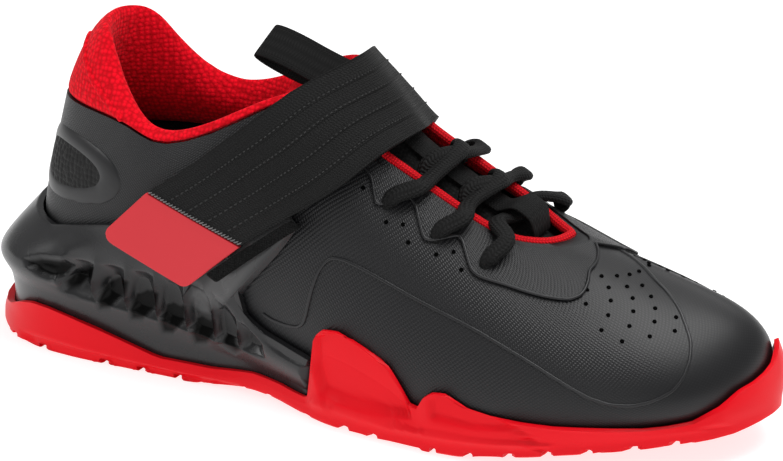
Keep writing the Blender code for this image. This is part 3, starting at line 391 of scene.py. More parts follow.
BLACK_CLOTH = dressed("coated_cloth", COATED, .00085, (.011, .011, .012), (.005, .005, .006),
                      (.46, .34), .00011, .34)
SMOOTH_FILM = dressed("smooth_film", MOULDED, .0004, (.012, .012, .013), (.009, .009, .010),
                      (.30, .40), .00003, .36)
CAGE_PLASTIC = dressed("cage_plastic", MOULDED, .0005, (.015, .015, .016), (.011, .011, .012),
                       (.22, .32), .00003, .40)
RED_RUBBER = dressed("red_rubber", MOULDED, .0005, (.80, .003, .011), (.74, .002, .009),
                     (.34, .46), .00004, .14)
RED_KNIT = dressed("red_knit", KNIT, .0017, (.92, .005, .018), (.56, .002, .008), (.80, .95), .00050, .05)
RED_KNIT.node_tree.nodes["Principled BSDF"].inputs["Sheen Weight"].default_value = .04
BLACK_KNIT = dressed("black_knit", KNIT, .0012, .014, .003, (.80, .95), .00030, .15)
TONGUE_KNIT = dressed("tongue_knit", KNIT, .0012, .014, .003, (.80, .95), .00030, .15)
WINDOW_MESH = dressed("window_mesh", KNIT, .0020, .016, .001, (.60, .95), .00080, .30)
BLACK_WEBBING = dressed("black_webbing", RIBBED, .0011, .012, .003, (.75, .90), .00022, .16)
STRAP_WEBBING = dressed("strap_webbing", RIBBED, .0011, .010, .002, (.62, .85), .00034, .22)
LACE_CLOTH = dressed("lace_cloth", RIBBED, .0012, .011, .002, (.68, .90), .00042, .22)
TAB_RED = dressed("tab_red", MOULDED, .0006, (.64, .034, .045), (.61, .030, .040), (.50, .60), .00003, .25)
HOOK_CLOTH = dressed("hook_cloth", KNIT, .0009, .009, .001, (.90, 1), .00055, .15)
CORD_RED = dressed("cord_red", RIBBED, .0011, (.90, .008, .020), (.45, .001, .005), (.70, .85), .00030, .15)
# Painted shade: the near black of the vent holes stands in for the shade inside them
HOLE_PAINTED_SHADE = dressed("hole_painted_shade", MOULDED, .0005, .0015, .001, (.85, .95), .00002, .02)
THREAD_GREY = dressed("thread_grey", MOULDED, .0003, (.22, .21, .21), .12, (.60, .75), .00003, .20)
THREAD_BLACK = dressed("thread_black", MOULDED, .0003, .030, .018, (.60, .75), .00003, .30)
print(len(bpy.data.materials), "materials on", len(bpy.data.node_groups), "patterns")

# %% [markdown]
# ## Fine copies
# The solid model is faceted. A fine copy keeps its form: the doubled corners are merged,
# pairs of triangles become quads, and a subdivision surface rounds them. Sharp edges get
# a crease first, so that a wall's rim stays a rim. The copy then stands for the solid.

# %% Fine copies
def choose(piece):
    """Make a piece the only selected one, and the active one."""
    bpy.ops.object.select_all(action="DESELECT")
    piece.select_set(True)
    bpy.context.view_layer.objects.active = piece


def edit(piece, *steps):
    """Run mesh operators on a whole piece: pairs of an operator and its options."""
    choose(piece)
    bpy.ops.object.mode_set(mode="EDIT")
    bpy.ops.mesh.select_all(action="SELECT")
    for operator, options in steps:
        operator(**options)
    bpy.ops.object.mode_set(mode="OBJECT")


def finish_piece(piece, material, smooth=60):
    """Material, smooth shading, slot and body of a new piece."""
    piece.data.materials.clear()
    piece.data.materials.append(material)
    choose(piece)
    bpy.ops.object.shade_smooth_by_angle(angle=np.radians(smooth))
    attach(piece, "root")
    print(piece.name, len(piece.data.polygons), "faces")
    return piece


def fine_copy(node, material, levels=2, sharp=50, crease=.8, smooth=60):
    """A rounded copy of a CAD node, in its place."""
    piece = bpy.data.objects.new(node + "_fine", NODES[node].data.copy())
    bpy.context.collection.objects.link(piece)
    edit(piece, (bpy.ops.mesh.customdata_custom_splitnormals_clear, {}),
         (bpy.ops.mesh.remove_doubles, {"threshold": 2e-6}),
         (bpy.ops.mesh.tris_convert_to_quads, {"face_threshold": np.radians(60),
                                               "shape_threshold": np.radians(80)}),
         (bpy.ops.mesh.mark_sharp, {"clear": True}),
         (bpy.ops.mesh.select_all, {"action": "DESELECT"}),
         (bpy.ops.mesh.edges_select_sharp, {"sharpness": np.radians(sharp)}),
         (bpy.ops.transform.edge_crease, {"value": crease}))
    rounding = piece.modifiers.new("rounding", "SUBSURF")
    rounding.levels = levels
    rounding.render_levels = levels
    bpy.ops.object.modifier_apply(modifier=rounding.name)
    finish_piece(piece, material, smooth)
    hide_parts(node)
    return piece


def vertex_points(piece):
    """The places of a piece's vertices."""
    flat = np.zeros(len(piece.data.vertices) * 3)
    piece.data.vertices.foreach_get("co", flat)
    return flat.reshape(-1, 3)


def move(piece, points):
    """Put the vertices of a piece at other points."""
    piece.data.vertices.foreach_set("co", points.ravel())
    piece.data.update()


def nearest(piece, points):
    """The nearest places on a piece, and the directions out of it there."""
    hits = [piece.closest_point_on_mesh(Vector(point)) for point in points]
    return np.array([hit[1] for hit in hits]), np.array([hit[2] for hit in hits])


def new_piece(name, points, faces, closed=True):
    """A piece from points and faces; those of a closed one are turned outwards."""
    mesh = bpy.data.meshes.new(name)
    mesh.from_pydata([tuple(point) for point in points], [], faces)
    piece = bpy.data.objects.new(name, mesh)
    bpy.context.collection.objects.link(piece)
    if closed:
        edit(piece, (bpy.ops.mesh.normals_make_consistent, {"inside": False}))
    return piece


def ring_faces(first, rings, sides):
    """The faces between rings of points that follow one another."""
    faces = []
    for start in range(first, first + (rings - 1) * sides, sides):
        for turn in range(sides):
            a, b = start + turn, start + (turn + 1) % sides
            faces.append((a, b, b + sides, a + sides))
    return faces


def circle(count):
    """Angles once round, without the last one."""
    return np.linspace(0, 2 * np.pi, count + 1)[:-1]


def set_map(piece, along, across, turn=None):
    """Give a piece a map in metres; turn is the way once round, where the map closes."""
    layer = piece.data.uv_layers.new(name="places")
    corner = np.zeros(len(piece.data.loops), int)
    piece.data.loops.foreach_get("vertex_index", corner)
    along, across = along[corner].copy(), across[corner]
    if turn:
        sizes = np.zeros(len(piece.data.polygons), int)
        piece.data.polygons.foreach_get("loop_total", sizes)
        face = np.repeat(np.arange(len(sizes)), sizes)
        highest = np.full(len(sizes), -np.inf)
        np.maximum.at(highest, face, along)
        along[highest[face] - along > turn / 2] += turn
    layer.data.foreach_set("uv", np.column_stack((along, across)).ravel())


def set_value(piece, name, values):
    """Give a piece one number per vertex, which its material can read."""
    layer = piece.data.attributes.new(name, "FLOAT", "POINT")
    layer.data.foreach_set("value", np.asarray(values, np.float32))


def way_along(line):
    """Metres from a line's first point to each of its points."""
    return np.concatenate(([0], np.cumsum(np.linalg.norm(np.diff(line, axis=0), axis=1))))


def lengths(skin, columns, rows, middle_column, middle_row):
    """Metres along the middle row up to each column, and up the middle column to each row."""
    around = skin.at(columns, np.full(len(columns), middle_row))
    upward = skin.at(np.full(len(rows), middle_column), rows)
    return way_along(around), way_along(upward)


# %% [markdown]
# ## Upper
# The upper is one coated black cloth. It is dotted at the side and quarter and smooth over
# the toe, where a film lies on it. The fine copy learns for every vertex at which column and
# row it is. That gives the dots straight rows, and the film a soft edge along its seam.

# %% Upper
# Columns from the toe at which the film ends, and over which it fades
FILM_END = 2.9
FILM_FADE = 1.2
all_columns = np.linspace(0, TURN, TURN * 10 + 1)
all_rows = np.linspace(0, TOP_LINE, 33)
round_way, up_way = lengths(UPPER_SKIN, all_columns, all_rows, 5.5, 1.5)


def found_on_upper(spots):
    """The columns and rows of the upper nearest to some places."""
    return UPPER_SKIN.find(spots, all_columns, all_rows[::2])


def map_like_upper(piece, found):
    """Give a piece the upper's map."""
    set_map(piece, np.interp(found[:, 0] % TURN, all_columns, round_way),
            np.interp(found[:, 1], all_rows, up_way), round_way[-1])


upper = fine_copy("upper", BLACK_CLOTH, levels=2, sharp=55)
upper_places = found_on_upper(vertex_points(upper))
map_like_upper(upper, upper_places)
from_toe = np.minimum(upper_places[:, 0] % TURN, TURN - upper_places[:, 0] % TURN)
set_value(upper, "film", np.clip((FILM_END - from_toe) / FILM_FADE, 0, 1))

# The toe's film hides the dots of the cloth
tree = BLACK_CLOTH.node_tree
left = calc(tree, "SUBTRACT", 1.0, calc(tree, "MULTIPLY", vertex_number(tree, "film"), .9))
tree.links.new(left, tree.nodes["relief"].inputs["Strength"])
print("upper:", len(upper_places), "vertices mapped, once round is", round(round_way[-1] * 1000), "mm")

# %% [markdown]
# ## Places read off the photograph
# Some hollows of the mouldings are easiest to place by their outline on the photograph. Each
# vertex is seen through the camera, and then it is asked how far inside an outline it falls.

# %% Photograph
PHOTO_WIDTH = 783
PHOTO_HEIGHT = 461
TO_CAMERA = np.array(BACK)


def to_photo(points):
    """Where points appear on the photograph, in pixels."""
    right = np.cross((0, 0, 1), BACK)
    right /= np.linalg.norm(right)
    upward = np.cross(BACK, right)
    seen = points - np.array(camera.location)
    scale = camera.data.lens / camera.data.sensor_width * PHOTO_WIDTH / -(seen @ TO_CAMERA)
    return np.column_stack((PHOTO_WIDTH / 2 + seen @ right * scale,
                            PHOTO_HEIGHT / 2 - seen @ upward * scale))


def line_distance(spots, line):
    """Pixels from each spot to a line, and on which side of the line it lies."""
    line = np.array(line, float)
    start, step = line[:-1], np.diff(line, axis=0)
    gap = spots[:, None] - start[None]
    share = np.clip(np.einsum("nsk,sk->ns", gap, step) / (step ** 2).sum(axis=1), 0, 1)
    away = np.linalg.norm(gap - share[..., None] * step, axis=2)
    best = away.argmin(axis=1)
    pick = np.arange(len(spots))
    side = step[best, 0] * gap[pick, best, 1] - step[best, 1] * gap[pick, best, 0]
    return away[pick, best], np.sign(side)


def inside_outline(spots, outline):
    """Which spots lie inside a closed outline."""
    ring = np.array(outline, float)
    after = np.roll(ring, -1, 0)
    hits = np.zeros(len(spots), int)
    for (x1, y1), (x2, y2) in zip(ring, after):
        crosses = (y1 > spots[:, 1]) != (y2 > spots[:, 1])
        reach = x1 + (spots[:, 1] - y1) * (x2 - x1) / (y2 - y1 + 1e-12)
        hits += crosses & (spots[:, 0] < reach)
    return hits % 2 == 1


def inside_share(spots, outline, soft):
    """From 0 outside and on a closed outline up to 1, so many pixels inside it."""
    away, _ = line_distance(spots, (*outline, outline[0]))
    return np.clip(away / soft, 0, 1) * inside_outline(spots, outline)


# %% [markdown]
# ## Cage
# The cage is one moulding. Its form is in the solid model already. Its scoops are pressed
# deeper here and get painted shade towards their bottom, and the rib that slants up to the strap
# gets a painted highlight.

# %% Cage
# The cage's waist, its side and its widest line, as x, y and z shares, from the outer front round the heel
CAGE = (
    ((.503, -.425, .073), (.502, -.442, .105), (.500, -.448, .137)),
    ((.420, -.354, .085), (.418, -.382, .133), (.417, -.401, .177)),
    ((.347, -.325, .093), (.347, -.358, .149), (.347, -.387, .218)),
    ((.267, -.325, .101), (.267, -.354, .173), (.267, -.387, .250)),
    ((.183, -.325, .105), (.180, -.354, .190), (.178, -.387, .266)),
    ((.090, -.297, .105), (.083, -.316, .194), (.078, -.340, .270)),
    ((.032, -.170, .105), (.025, -.175, .190), (.018, -.189, .258)),
    ((.012, .000, .105), (.005, .000, .177), (.000, .000, .242)),
    ((.032, .170, .105), (.025, .175, .190), (.018, .189, .258)),
    ((.090, .292, .105), (.083, .311, .194), (.078, .335, .270)),
    ((.183, .311, .105), (.180, .340, .190), (.178, .368, .266)),
    ((.267, .292, .101), (.267, .325, .173), (.267, .363, .250)),
    ((.347, .274, .093), (.347, .311, .149), (.347, .354, .218)),
    ((.420, .283, .085), (.418, .307, .133), (.417, .330, .177)),
    ((.503, .340, .073), (.502, .354, .105), (.500, .363, .137)),
)
CAGE_TOP = ((0, .170), (1, .226), (1.35, .27), (1.5, .40), (1.65, .46), (2, .468), (3, .476), (4, .440),
            (5, .375), (6, .385), (7, .395))
CAGE_START = 6
PIT_FIRST = .98
PIT_PITCH = .49
PIT_COUNT = 7
PIT_ROWS = (1.1, 2.4)
PIT_EXTRA = .0024
# How far the scoops reach from the cage's skin, up to which row, and what stays of the wall
PIT_REACH = .0075
PIT_END = 2.45
PIT_WALL = .0006
RIB_HALF = .0062
RIB_EDGE = .0018
# The middle of the rib that slants up from the cage to the strap, which gets a painted highlight, as columns
# and rows
RIB_FACE = ((8.2, .62), (7.85, .93), (7.5, 1.38), (7.05, 2.0), (6.72, 2.45))


def cage_skin():
    """The outside of the cage up to its top edge; its columns start at one of the upper's."""
    points = []
    for index, rows in enumerate(CAGE):
        top = np.interp(min(index, len(CAGE) - 1 - index), *np.array(CAGE_TOP).T) * HEIGHT
        rows_up = np.linspace(0, TOP_LINE, 81)
        column = CAGE_START + index
        edge = np.interp(top, UPPER_SKIN.at(np.full(81, column), rows_up)[:, 2], rows_up)
        rim = UPPER_SKIN.at(column, edge)[0] + UPPER_SKIN.out(column, edge)[0] * .0025
        points.append([*[place(row) for row in rows], rim])
    return Skin(points)


# Outlines on the photograph, in pixels, of the darkest hollows of the cage's outer side, with
# the depth in metres that each adds; shade is painted inside them too
PHOTO_PITS = (
    (((23, 258), (40, 255), (63, 258), (74, 266), (63, 279), (50, 282), (37, 277), (25, 267)), .0021),
    (((60, 284), (75, 270), (97, 262), (93, 280), (80, 292), (66, 294)), .0006),
    (((94, 302), (101, 284), (117, 274), (130, 281), (127, 298), (111, 311), (98, 312)), .0006),
    (((126, 311), (131, 294), (147, 286), (160, 293), (158, 311), (144, 322), (130, 322)), .0006),
    (((157, 323), (161, 305), (173, 298), (188, 306), (186, 325), (174, 336), (161, 335)), .0006),
    (((189, 336), (191, 319), (202, 311), (216, 320), (216, 337), (208, 346), (194, 346)), .0006),
    (((218, 345), (223, 331), (233, 335), (244, 352), (235, 356)), .0006),
)
PHOTO_PIT_SOFT = 8


def press_pits(piece):
    """Press the scoops of the cage deeper and mark painted shade in them, darker towards their bottom; mark
    the rib for its painted highlight.
    """
    skin = cage_skin()
    last = len(CAGE) - 1
    spots = vertex_points(piece)
    found = skin.find(spots, np.linspace(0, last, 10 * last + 1), np.linspace(0, 3, 31))
    away = np.linalg.norm(spots - skin.at(*found.T), axis=1)
    outs = skin.out(*found.T)
    station = (np.minimum(found[:, 0], last - found[:, 0]) - PIT_FIRST) / PIT_PITCH
    middle, half = (PIT_ROWS[0] + PIT_ROWS[1]) / 2, (PIT_ROWS[1] - PIT_ROWS[0]) / 2
    tall = np.clip(1 - ((found[:, 1] - middle) / half) ** 2, 0, 1)
    share = np.sqrt(tall * np.clip(np.sin(np.pi * (station % 1)), 0, 1))
    share[(station < 0) | (station > PIT_COUNT) | (away > PIT_REACH) | (found[:, 1] > PIT_END)] = 0
    seen = to_photo(spots)
    outer_face = (away < PIT_REACH) & (outs @ TO_CAMERA > .1)
    painted_pit_shade, extra = np.zeros(len(spots)), np.zeros(len(spots))
    for outline, depth in PHOTO_PITS:
        inner = np.sin(inside_share(seen, outline, PHOTO_PIT_SOFT) * outer_face * np.pi / 2)
        painted_pit_shade = np.maximum(painted_pit_shade, inner)
        extra = np.maximum(extra, inner * depth)
    behind = found_on_upper(spots)
    room = np.einsum("nk,nk->n", spots - UPPER_SKIN.at(*behind.T), UPPER_SKIN.out(*behind.T)) - PIT_WALL
    room[behind[:, 1] < .05] = 2 * PIT_EXTRA
    move(piece, spots - outs * np.minimum(PIT_EXTRA * share + extra, np.maximum(room, 0))[:, None])
    # Painted shade: how dark each scoop is painted
    set_value(piece, "pit_shade", np.maximum(share * .55, painted_pit_shade))
    # Painted highlight: how far the rib is painted paler
    ridge = np.array([np.interp(np.linspace(0, 4, 33), range(5), line) for line in zip(*RIB_FACE)])
    near = np.linalg.norm(spots[:, None] - UPPER_SKIN.at(*ridge)[None], axis=2).min(axis=1)
    set_value(piece, "rib", np.clip((RIB_HALF - near) / RIB_EDGE, 0, 1))


cage = fine_copy("heel_cage", CAGE_PLASTIC, levels=3, sharp=38, crease=.75, smooth=40)
press_pits(cage)

# Painted shade: the bottom of a scoop is painted darker and less glossy than its rim, as it gets less light
tree = CAGE_PLASTIC.node_tree
painted_pit_shade = add(tree, "ShaderNodeMapRange", (("Value", vertex_number(tree, "pit_shade")), ("From Min", .25),
                                        ("From Max", .85), ("To Max", 1.0))).outputs[0]
shine = add(tree, "ShaderNodeMapRange", (("Value", painted_pit_shade), ("To Min", .40), ("To Max", .08)))
tree.links.new(shine.outputs[0], tree.nodes["Principled BSDF"].inputs["Specular IOR Level"])
tint_over(tree, painted_pit_shade, .001)
# Painted highlight: the rib is painted paler
tint_over(tree, vertex_number(tree, "rib"), (.062, .062, .063))

# %% [markdown]
# ## Sole
# The sole is red rubber. On its outer side it has hollow faces, a ledge above which the side
# steps back, and a crease where one layer overlaps another.

# %% Sole
sole = fine_copy("outsole", RED_RUBBER, levels=2, sharp=24, crease=.9, smooth=30)

# Outlines on the photograph, in pixels, of the hollow faces, with the depth in metres and the
# width of the soft edge in pixels; then the lines of the ledge and the crease
HOLLOWS = (
    (((309, 362), (313, 336), (330, 331), (352, 338), (386, 360), (399, 382), (410, 408), (413, 420),
      (380, 415), (345, 404), (318, 396)), .0030, 6),
    (((428, 420), (427, 400), (436, 393), (452, 397), (478, 409), (512, 424), (505, 432), (470, 430)),
     .0018, 4),
    (((28, 352), (20, 330), (40, 336), (80, 348), (120, 358), (190, 374), (240, 384), (240, 390),
      (180, 384), (110, 372), (60, 362)), .0018, 5),
)
LEDGE = ((318, 401), (345, 408), (372, 417), (400, 426), (430, 432), (465, 437), (498, 441), (540, 444))
LEDGE_STEP = .0015
LEDGE_SOFT = 9
CREASE = ((508, 424), (524, 434), (540, 446), (553, 457))
CREASE_DEPTH = .0018
CREASE_SOFT = 3.5


def shape_sole(piece):
    """Press the hollow faces, the ledge and the crease into the sole's outer side."""
    spots = vertex_points(piece)
    flat = np.zeros(len(spots) * 3)
    piece.data.vertices.foreach_get("normal", flat)
    outs = flat.reshape(-1, 3).copy()
    faces_camera = np.clip(outs @ TO_CAMERA * 3, 0, 1) * (spots[:, 1] < 0)
    outs[:, 2] = 0
    outs /= np.maximum(np.linalg.norm(outs, axis=1, keepdims=True), 1e-9)
    seen = to_photo(spots)
    inward = np.zeros(len(spots))
    for outline, depth, soft in HOLLOWS:
        share = inside_share(seen, outline, soft)
        inward = np.maximum(inward, depth * share * share * (3 - 2 * share))
    for line, depth, soft in ((LEDGE, -LEDGE_STEP, LEDGE_SOFT), (CREASE, CREASE_DEPTH, CREASE_SOFT)):
        away, side = line_distance(seen, line)
        inward += depth * np.clip(1 - away / soft, 0, 1) * (side > 0)
    move(piece, spots - outs * (inward * faces_camera)[:, None])
    print("sole:", int((np.abs(inward * faces_camera) > 1e-4).sum()), "of", len(spots), "vertices moved")


shape_sole(sole)

# %% [markdown]
# ## Collar, insole and tongue
# The collar is foam under a red knit and rolls over the top line. The insole and the tongue
# are black. All three are soft.

# %% Soft pieces
lining = fine_copy("collar_lining", RED_KNIT, sharp=80, crease=.2)
insole = fine_copy("insole", BLACK_KNIT, sharp=60, crease=.5)
tongue = fine_copy("tongue", TONGUE_KNIT, sharp=70, crease=.4)

# The tongue's top edge is bound in red
BINDING_X = .0825
BINDING_FADE = .0015
set_value(tongue, "binding", np.clip((BINDING_X - vertex_points(tongue)[:, 0]) / BINDING_FADE, 0, 1))
tree = TONGUE_KNIT.node_tree
tint_over(tree, vertex_number(tree, "binding"), (.80, .006, .016))

# %% [markdown]
# ## Overlays on the upper
# The lace stay, the seam of the side panel and the ring on the counter are pressed films.

# %% Overlays
def on_upper(points, outs, height):
    """The points put at a height over the fine upper, instead of over the skin that it follows."""
    return nearest(upper, points)[0] + outs * np.reshape(height, (-1, 1))


def lay_down(piece, depth):
    """Press a film onto the upper, so that no light passes under it, and map it like the cloth."""
    spots = vertex_points(piece)
    found = found_on_upper(spots)
    outs = UPPER_SKIN.out(*found.T)
    height = np.einsum("nk,nk->n", spots - UPPER_SKIN.at(*found.T), outs) - depth
    move(piece, on_upper(spots, outs, height))
    map_like_upper(piece, found)


for node, sharp, crease, depth in (("side_panel_line_", 40, .3, .0008), ("heel_counter_frame_", 80, 0, .0010)):
    for side in ("out", "in"):
        lay_down(fine_copy(node + side, SMOOTH_FILM, sharp=sharp, crease=crease), depth)
lay_down(fine_copy("eyestay", BLACK_CLOTH, levels=3, sharp=40, crease=.5), .0006)

# %% [markdown]
# ## Strap and tab
# The strap is one elastic webbing 40 mm wide, with sewn ridges along it. The tab is a thin
# matt red moulding, and black hook tape shows along the strap's front edge.

# %% Strap
# Pairs of points on the rear and the front edge, from the tab over the instep to the inner side
STRAP = (((.2697, -.404, .5847), (.3977, -.430, .4855)), ((.320, -.404, .675), (.460, -.426, .597)),
         ((.358, -.390, .753), (.497, -.400, .660)), ((.400, -.352, .838), (.525, -.358, .715)),
         ((.435, -.270, .915), (.553, -.275, .782)), ((.470, -.150, .966), (.566, -.155, .802)),
         ((.488, -.047, .990), (.570, -.047, .803)), ((.476, .085, .968), (.553, .085, .768)),
         ((.452, .230, .915), (.540, .222, .745)), ((.412, .325, .800), (.508, .302, .655)),
         ((.370, .362, .650), (.470, .350, .540)), ((.335, .368, .510), (.445, .358, .440)))
TAB = (((.268, -.404, .581), (.3965, -.430, .4815)), ((.2045, -.412, .425), (.3235, -.434, .325)))
STRAP_SKIN = Skin([[place(a), place(b)] for a, b in STRAP])


def map_band(piece, skin):
    """Give a strap-like piece its way along and across."""
    columns = np.linspace(0, len(skin.points) - 1, 111)
    rows = np.linspace(0, 1, 17)
    found = skin.find(vertex_points(piece), columns, rows)
    along, across = lengths(skin, columns, rows, 3, .5)
    set_map(piece, np.interp(found[:, 0], columns, along), np.interp(found[:, 1], rows, across))
    set_value(piece, "share", found[:, 1])
    return found


strap = fine_copy("strap", STRAP_WEBBING, levels=3, sharp=50, crease=.7)
map_band(strap, STRAP_SKIN)
tab = fine_copy("strap_tab", TAB_RED, levels=4, sharp=50, crease=.8)
TAB_SKIN = Skin([[place(a), place(b)] for a, b in TAB])


def round_corner(piece, skin, front, radius):
    """Round one corner of the tab's free end: the rear one, or the front one."""
    spots = vertex_points(piece)
    found = skin.find(spots, np.linspace(0, 1, 21), np.linspace(0, 1, 21))
    long = np.linalg.norm(skin.at(1, .5)[0] - skin.at(0, .5)[0])
    broad = np.linalg.norm(skin.at(1, 1)[0] - skin.at(1, 0)[0])
    side = 1 - found[:, 1] if front else found[:, 1]
    gaps = np.column_stack(((1 - found[:, 0]) * long, side * broad))
    inward = radius - gaps
    near = (inward > 0).all(axis=1)
    squeezed = inward * (inward.max(axis=1) / np.maximum(np.linalg.norm(inward, axis=1), 1e-9))[:, None]
    fresh = np.where(near[:, None], radius - squeezed, gaps)
    columns = 1 - fresh[:, 0] / long
    rows = fresh[:, 1] / broad
    rows = 1 - rows if front else rows
    move(piece, spots + skin.at(columns, rows) - skin.at(*found.T))


for front, radius in ((False, .0060), (True, .0022)):
    round_corner(tab, TAB_SKIN, front, radius)
fine_copy("strap_hook_strip", HOOK_CLOTH, levels=3, sharp=50, crease=.4)

# Raised lines along the strap, between broader plain stripes
tree = STRAP_WEBBING.node_tree
where = calc(tree, "MULTIPLY", vertex_number(tree, "share"), 5.0)
line = calc(tree, "SUBTRACT", 1.0, calc(tree, "MULTIPLY", calc(tree, "PINGPONG", where, .5), 6.0))
line = calc(tree, "MULTIPLY", calc(tree, "MAXIMUM", line, 0.0), 2.6)
high = calc(tree, "ADD", tree.nodes["pattern"].outputs["Height"], line)
tree.links.new(high, tree.nodes["relief"].inputs["Height"])

# %% [markdown]
# ## Webbing
# A ribbed webbing runs down the tongue and keeps the laces in place.

# %% Webbing
webbing = fine_copy("tongue_webbing", BLACK_WEBBING, levels=2, sharp=50, crease=.6)
spots = vertex_points(webbing)
set_map(webbing, spots[:, 0], spots[:, 1])

# %% [markdown]
# ## Laces
# A lace is a flat oval cord. Each run is swept along the same line as in the solid model,
# with more stations and sides, so its weave can follow the cord.

# %% Laces
TONGUE = np.array(((.787, .452, .104, .024), (.740, .488, .160, .050), (.687, .552, .205, .094),
                   (.643, .612, .205, .118), (.600, .672, .195, .142), (.553, .735, .185, .148),
                   (.507, .830, .178, .154), (.463, .885, .178, .135), (.427, .892, .165, .095),
                   (.397, .880, .150, .060)))
EYELETS = ((3.85, 3.42), (4.55, 3.50), (5.30, 3.55))
LACE_WIDTH = .0062
LACE_THICKNESS = .0034
LACE_OVER = .0007
CROSS_RISE = .0050
CROSS_STEP = .0012
LACE_INSET = .0074
LACE_HALF = .0015
STAY_THICKNESS = .0009


def tongue_section(station):
    """Middle point, half width and drop of the tongue, at a station counted from its front."""
    x, z, wide, drop = (smooth_weights(len(TONGUE), station, False) @ TONGUE)[0]
    return x * LENGTH - HEEL_REST, z * HEIGHT, wide * WIDTH, drop * HEIGHT


def tongue_point(station, across, rise=0.0):
    """A point over the tongue; across runs from -1 to 1."""
    x, z, wide, drop = tongue_section(station)
    ahead, behind = tongue_section(station - .05), tongue_section(station + .05)
    slope = np.array((ahead[0] - behind[0], 0, ahead[1] - behind[1]))
    out = np.cross(slope / np.linalg.norm(slope), (0, wide, -2 * drop * across))
    return np.array((x, across * wide, z - drop * across ** 2)) + out / np.linalg.norm(out) * rise


def tongue_station(x):
    """The station at which the tongue's middle is over x."""
    stations = np.linspace(0, len(TONGUE) - 1, 120)
    return float(np.interp(-x, [-tongue_section(s)[0] for s in stations], stations))


def rim_frame(column):
    """The top line at a column, with the directions upwards along it and outwards."""
    edge, below = UPPER_SKIN.at([column, column], [TOP_LINE, TOP_LINE - .05])
    rise = (edge - below) / np.linalg.norm(edge - below)
    return edge, rise, UPPER_SKIN.out(column, TOP_LINE)[0]


def lace_over(side, pair, lean):
    """From an eyelet up and over the bead."""
    column, row = EYELETS[pair]
    base = SOFT_GAP + STAY_THICKNESS + LACE_OVER + LACE_HALF
    middle_row = (row + TOP_LINE) / 2
    spots = [side * (column + lean * .12), side * (column + lean * .6)], [row, middle_row + .05]
    outs = UPPER_SKIN.out(*spots)
    start, climb = UPPER_SKIN.at(*spots)
    edge, rise, out = rim_frame(side * (column + lean))
    crest = edge + rise * (BEAD + .0024) + out * BEAD * .4
    hidden = UPPER_SKIN.at(side * (column + lean * .08), row - .10)[0] - outs[0] * .0022
    points = [hidden, start + outs[0] * (base - .0004), climb + outs[1] * (base + BEAD * .35), crest]
    return points, [outs[0], outs[0], outs[1], rise + out]


def lace_under(side, pair, lean):
    """From the tongue beside the bead up towards the crossing."""
    edge = rim_frame(side * (EYELETS[pair][0] + lean))[0]
    station = tongue_station(edge[0])
    across = (edge[1] - np.sign(edge[1]) * LACE_INSET) / tongue_section(station)[2]
    start = tongue_point(station, across, LACE_OVER + LACE_HALF)
    ahead = tongue_point(station + .1, across * .6, (LACE_OVER + CROSS_RISE + 2 * LACE_HALF) * .62)
    up = tongue_point(station, across, 1) - tongue_point(station, across)
    return [start, ahead], [up, up]


def lace_line(near, far, rise):
    """The middle line of one run, and the direction that its flat side faces."""
    (near, near_ups), (far, far_ups) = near, far
    station = tongue_station((near[-1][0] + far[-1][0]) / 2)
    middle = tongue_point(station, 0, rise + LACE_HALF)
    upward = tongue_point(station, 0, 1) - tongue_point(station, 0)
    knots = np.array([*near, middle, *far[::-1]])
    weights = smooth_weights(len(knots), np.linspace(0, len(knots) - 1, 64), False)
    return weights @ knots, weights @ np.array([*near_ups, upward, *far_ups[::-1]])


# A cord's rounded tip: its size as a share of the cord, and how far it stands out
TIP_SIZE = .35
TIP_REACH = .0008


def sweep(lines, name, material, width, thickness, sides=16, squareness=.75):
    """One mesh of cords along lines of points and the directions that their flat sides face."""
    points, faces, along_map, across_map = [], [], [], []
    outline = np.column_stack([np.sign(wave) * np.abs(wave) ** squareness * size / 2 for wave, size in
                               ((np.cos(circle(sides)), width), (np.sin(circle(sides)), thickness))])
    edge = np.linalg.norm(outline - np.roll(outline, 1, 0), axis=1).sum()
    for line, ups in lines:
        way = way_along(line)
        end = len(line) - 1
        first = len(points)
        rings = [(0, TIP_SIZE, -TIP_REACH), *[(i, 1, 0) for i in range(len(line))], (end, TIP_SIZE, TIP_REACH)]
        for index, size, ahead in rings:
            heading = line[min(index + 1, end)] - line[max(index - 1, 0)]
            heading /= np.linalg.norm(heading)
            wide = np.cross(heading, ups[index])
            wide /= np.linalg.norm(wide)
            high = np.cross(wide, heading)
            for turn, (side, lift) in enumerate(outline):
                points.append(line[index] + (wide * side + high * lift) * size + heading * ahead)
                along_map.append(way[index] + ahead)
                across_map.append(edge * turn / sides)
        faces += ring_faces(first, len(rings), sides)
        faces.append(tuple(range(first, first + sides))[::-1])
        faces.append(tuple(range(len(points) - sides, len(points))))
    piece = finish_piece(new_piece(name, points, faces), material, 50)
    set_map(piece, np.array(along_map), np.array(across_map))
    return piece


lace_runs = {"lace_bar": [lace_line(lace_over(1, 0, -.9), lace_over(-1, 0, -.9), LACE_OVER)]}
for low, node in enumerate(("lace_cross_low", "lace_cross_top")):
    lace_runs[node] = [lace_line(lace_under(side, low, .3), lace_over(-side, low + 1, -.75), rise)
                       for side, rise in ((1, CROSS_RISE), (-1, CROSS_RISE + CROSS_STEP))]
for node, runs in lace_runs.items():
    piece = sweep(runs, node + "_fine", LACE_CLOTH, LACE_WIDTH, LACE_THICKNESS)
    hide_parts(node)
print("laces: 5 runs")

# %% [markdown]
# ## Pull loop
# The loop at the tongue's top is one band, folded at its free end. It stands a little open,
# so its dark inside shows from the outer side.

# %% Pull loop
LOOP_ROOT = place((.434, -.028, .912))
LOOP_BEND = place((.357, -.028, .968))
LOOP_TILT = (-.22, -.83, -.52)
LOOP_OPEN = .0052
LOOP_WIDTH = .0145
LOOP_THICKNESS = .0012
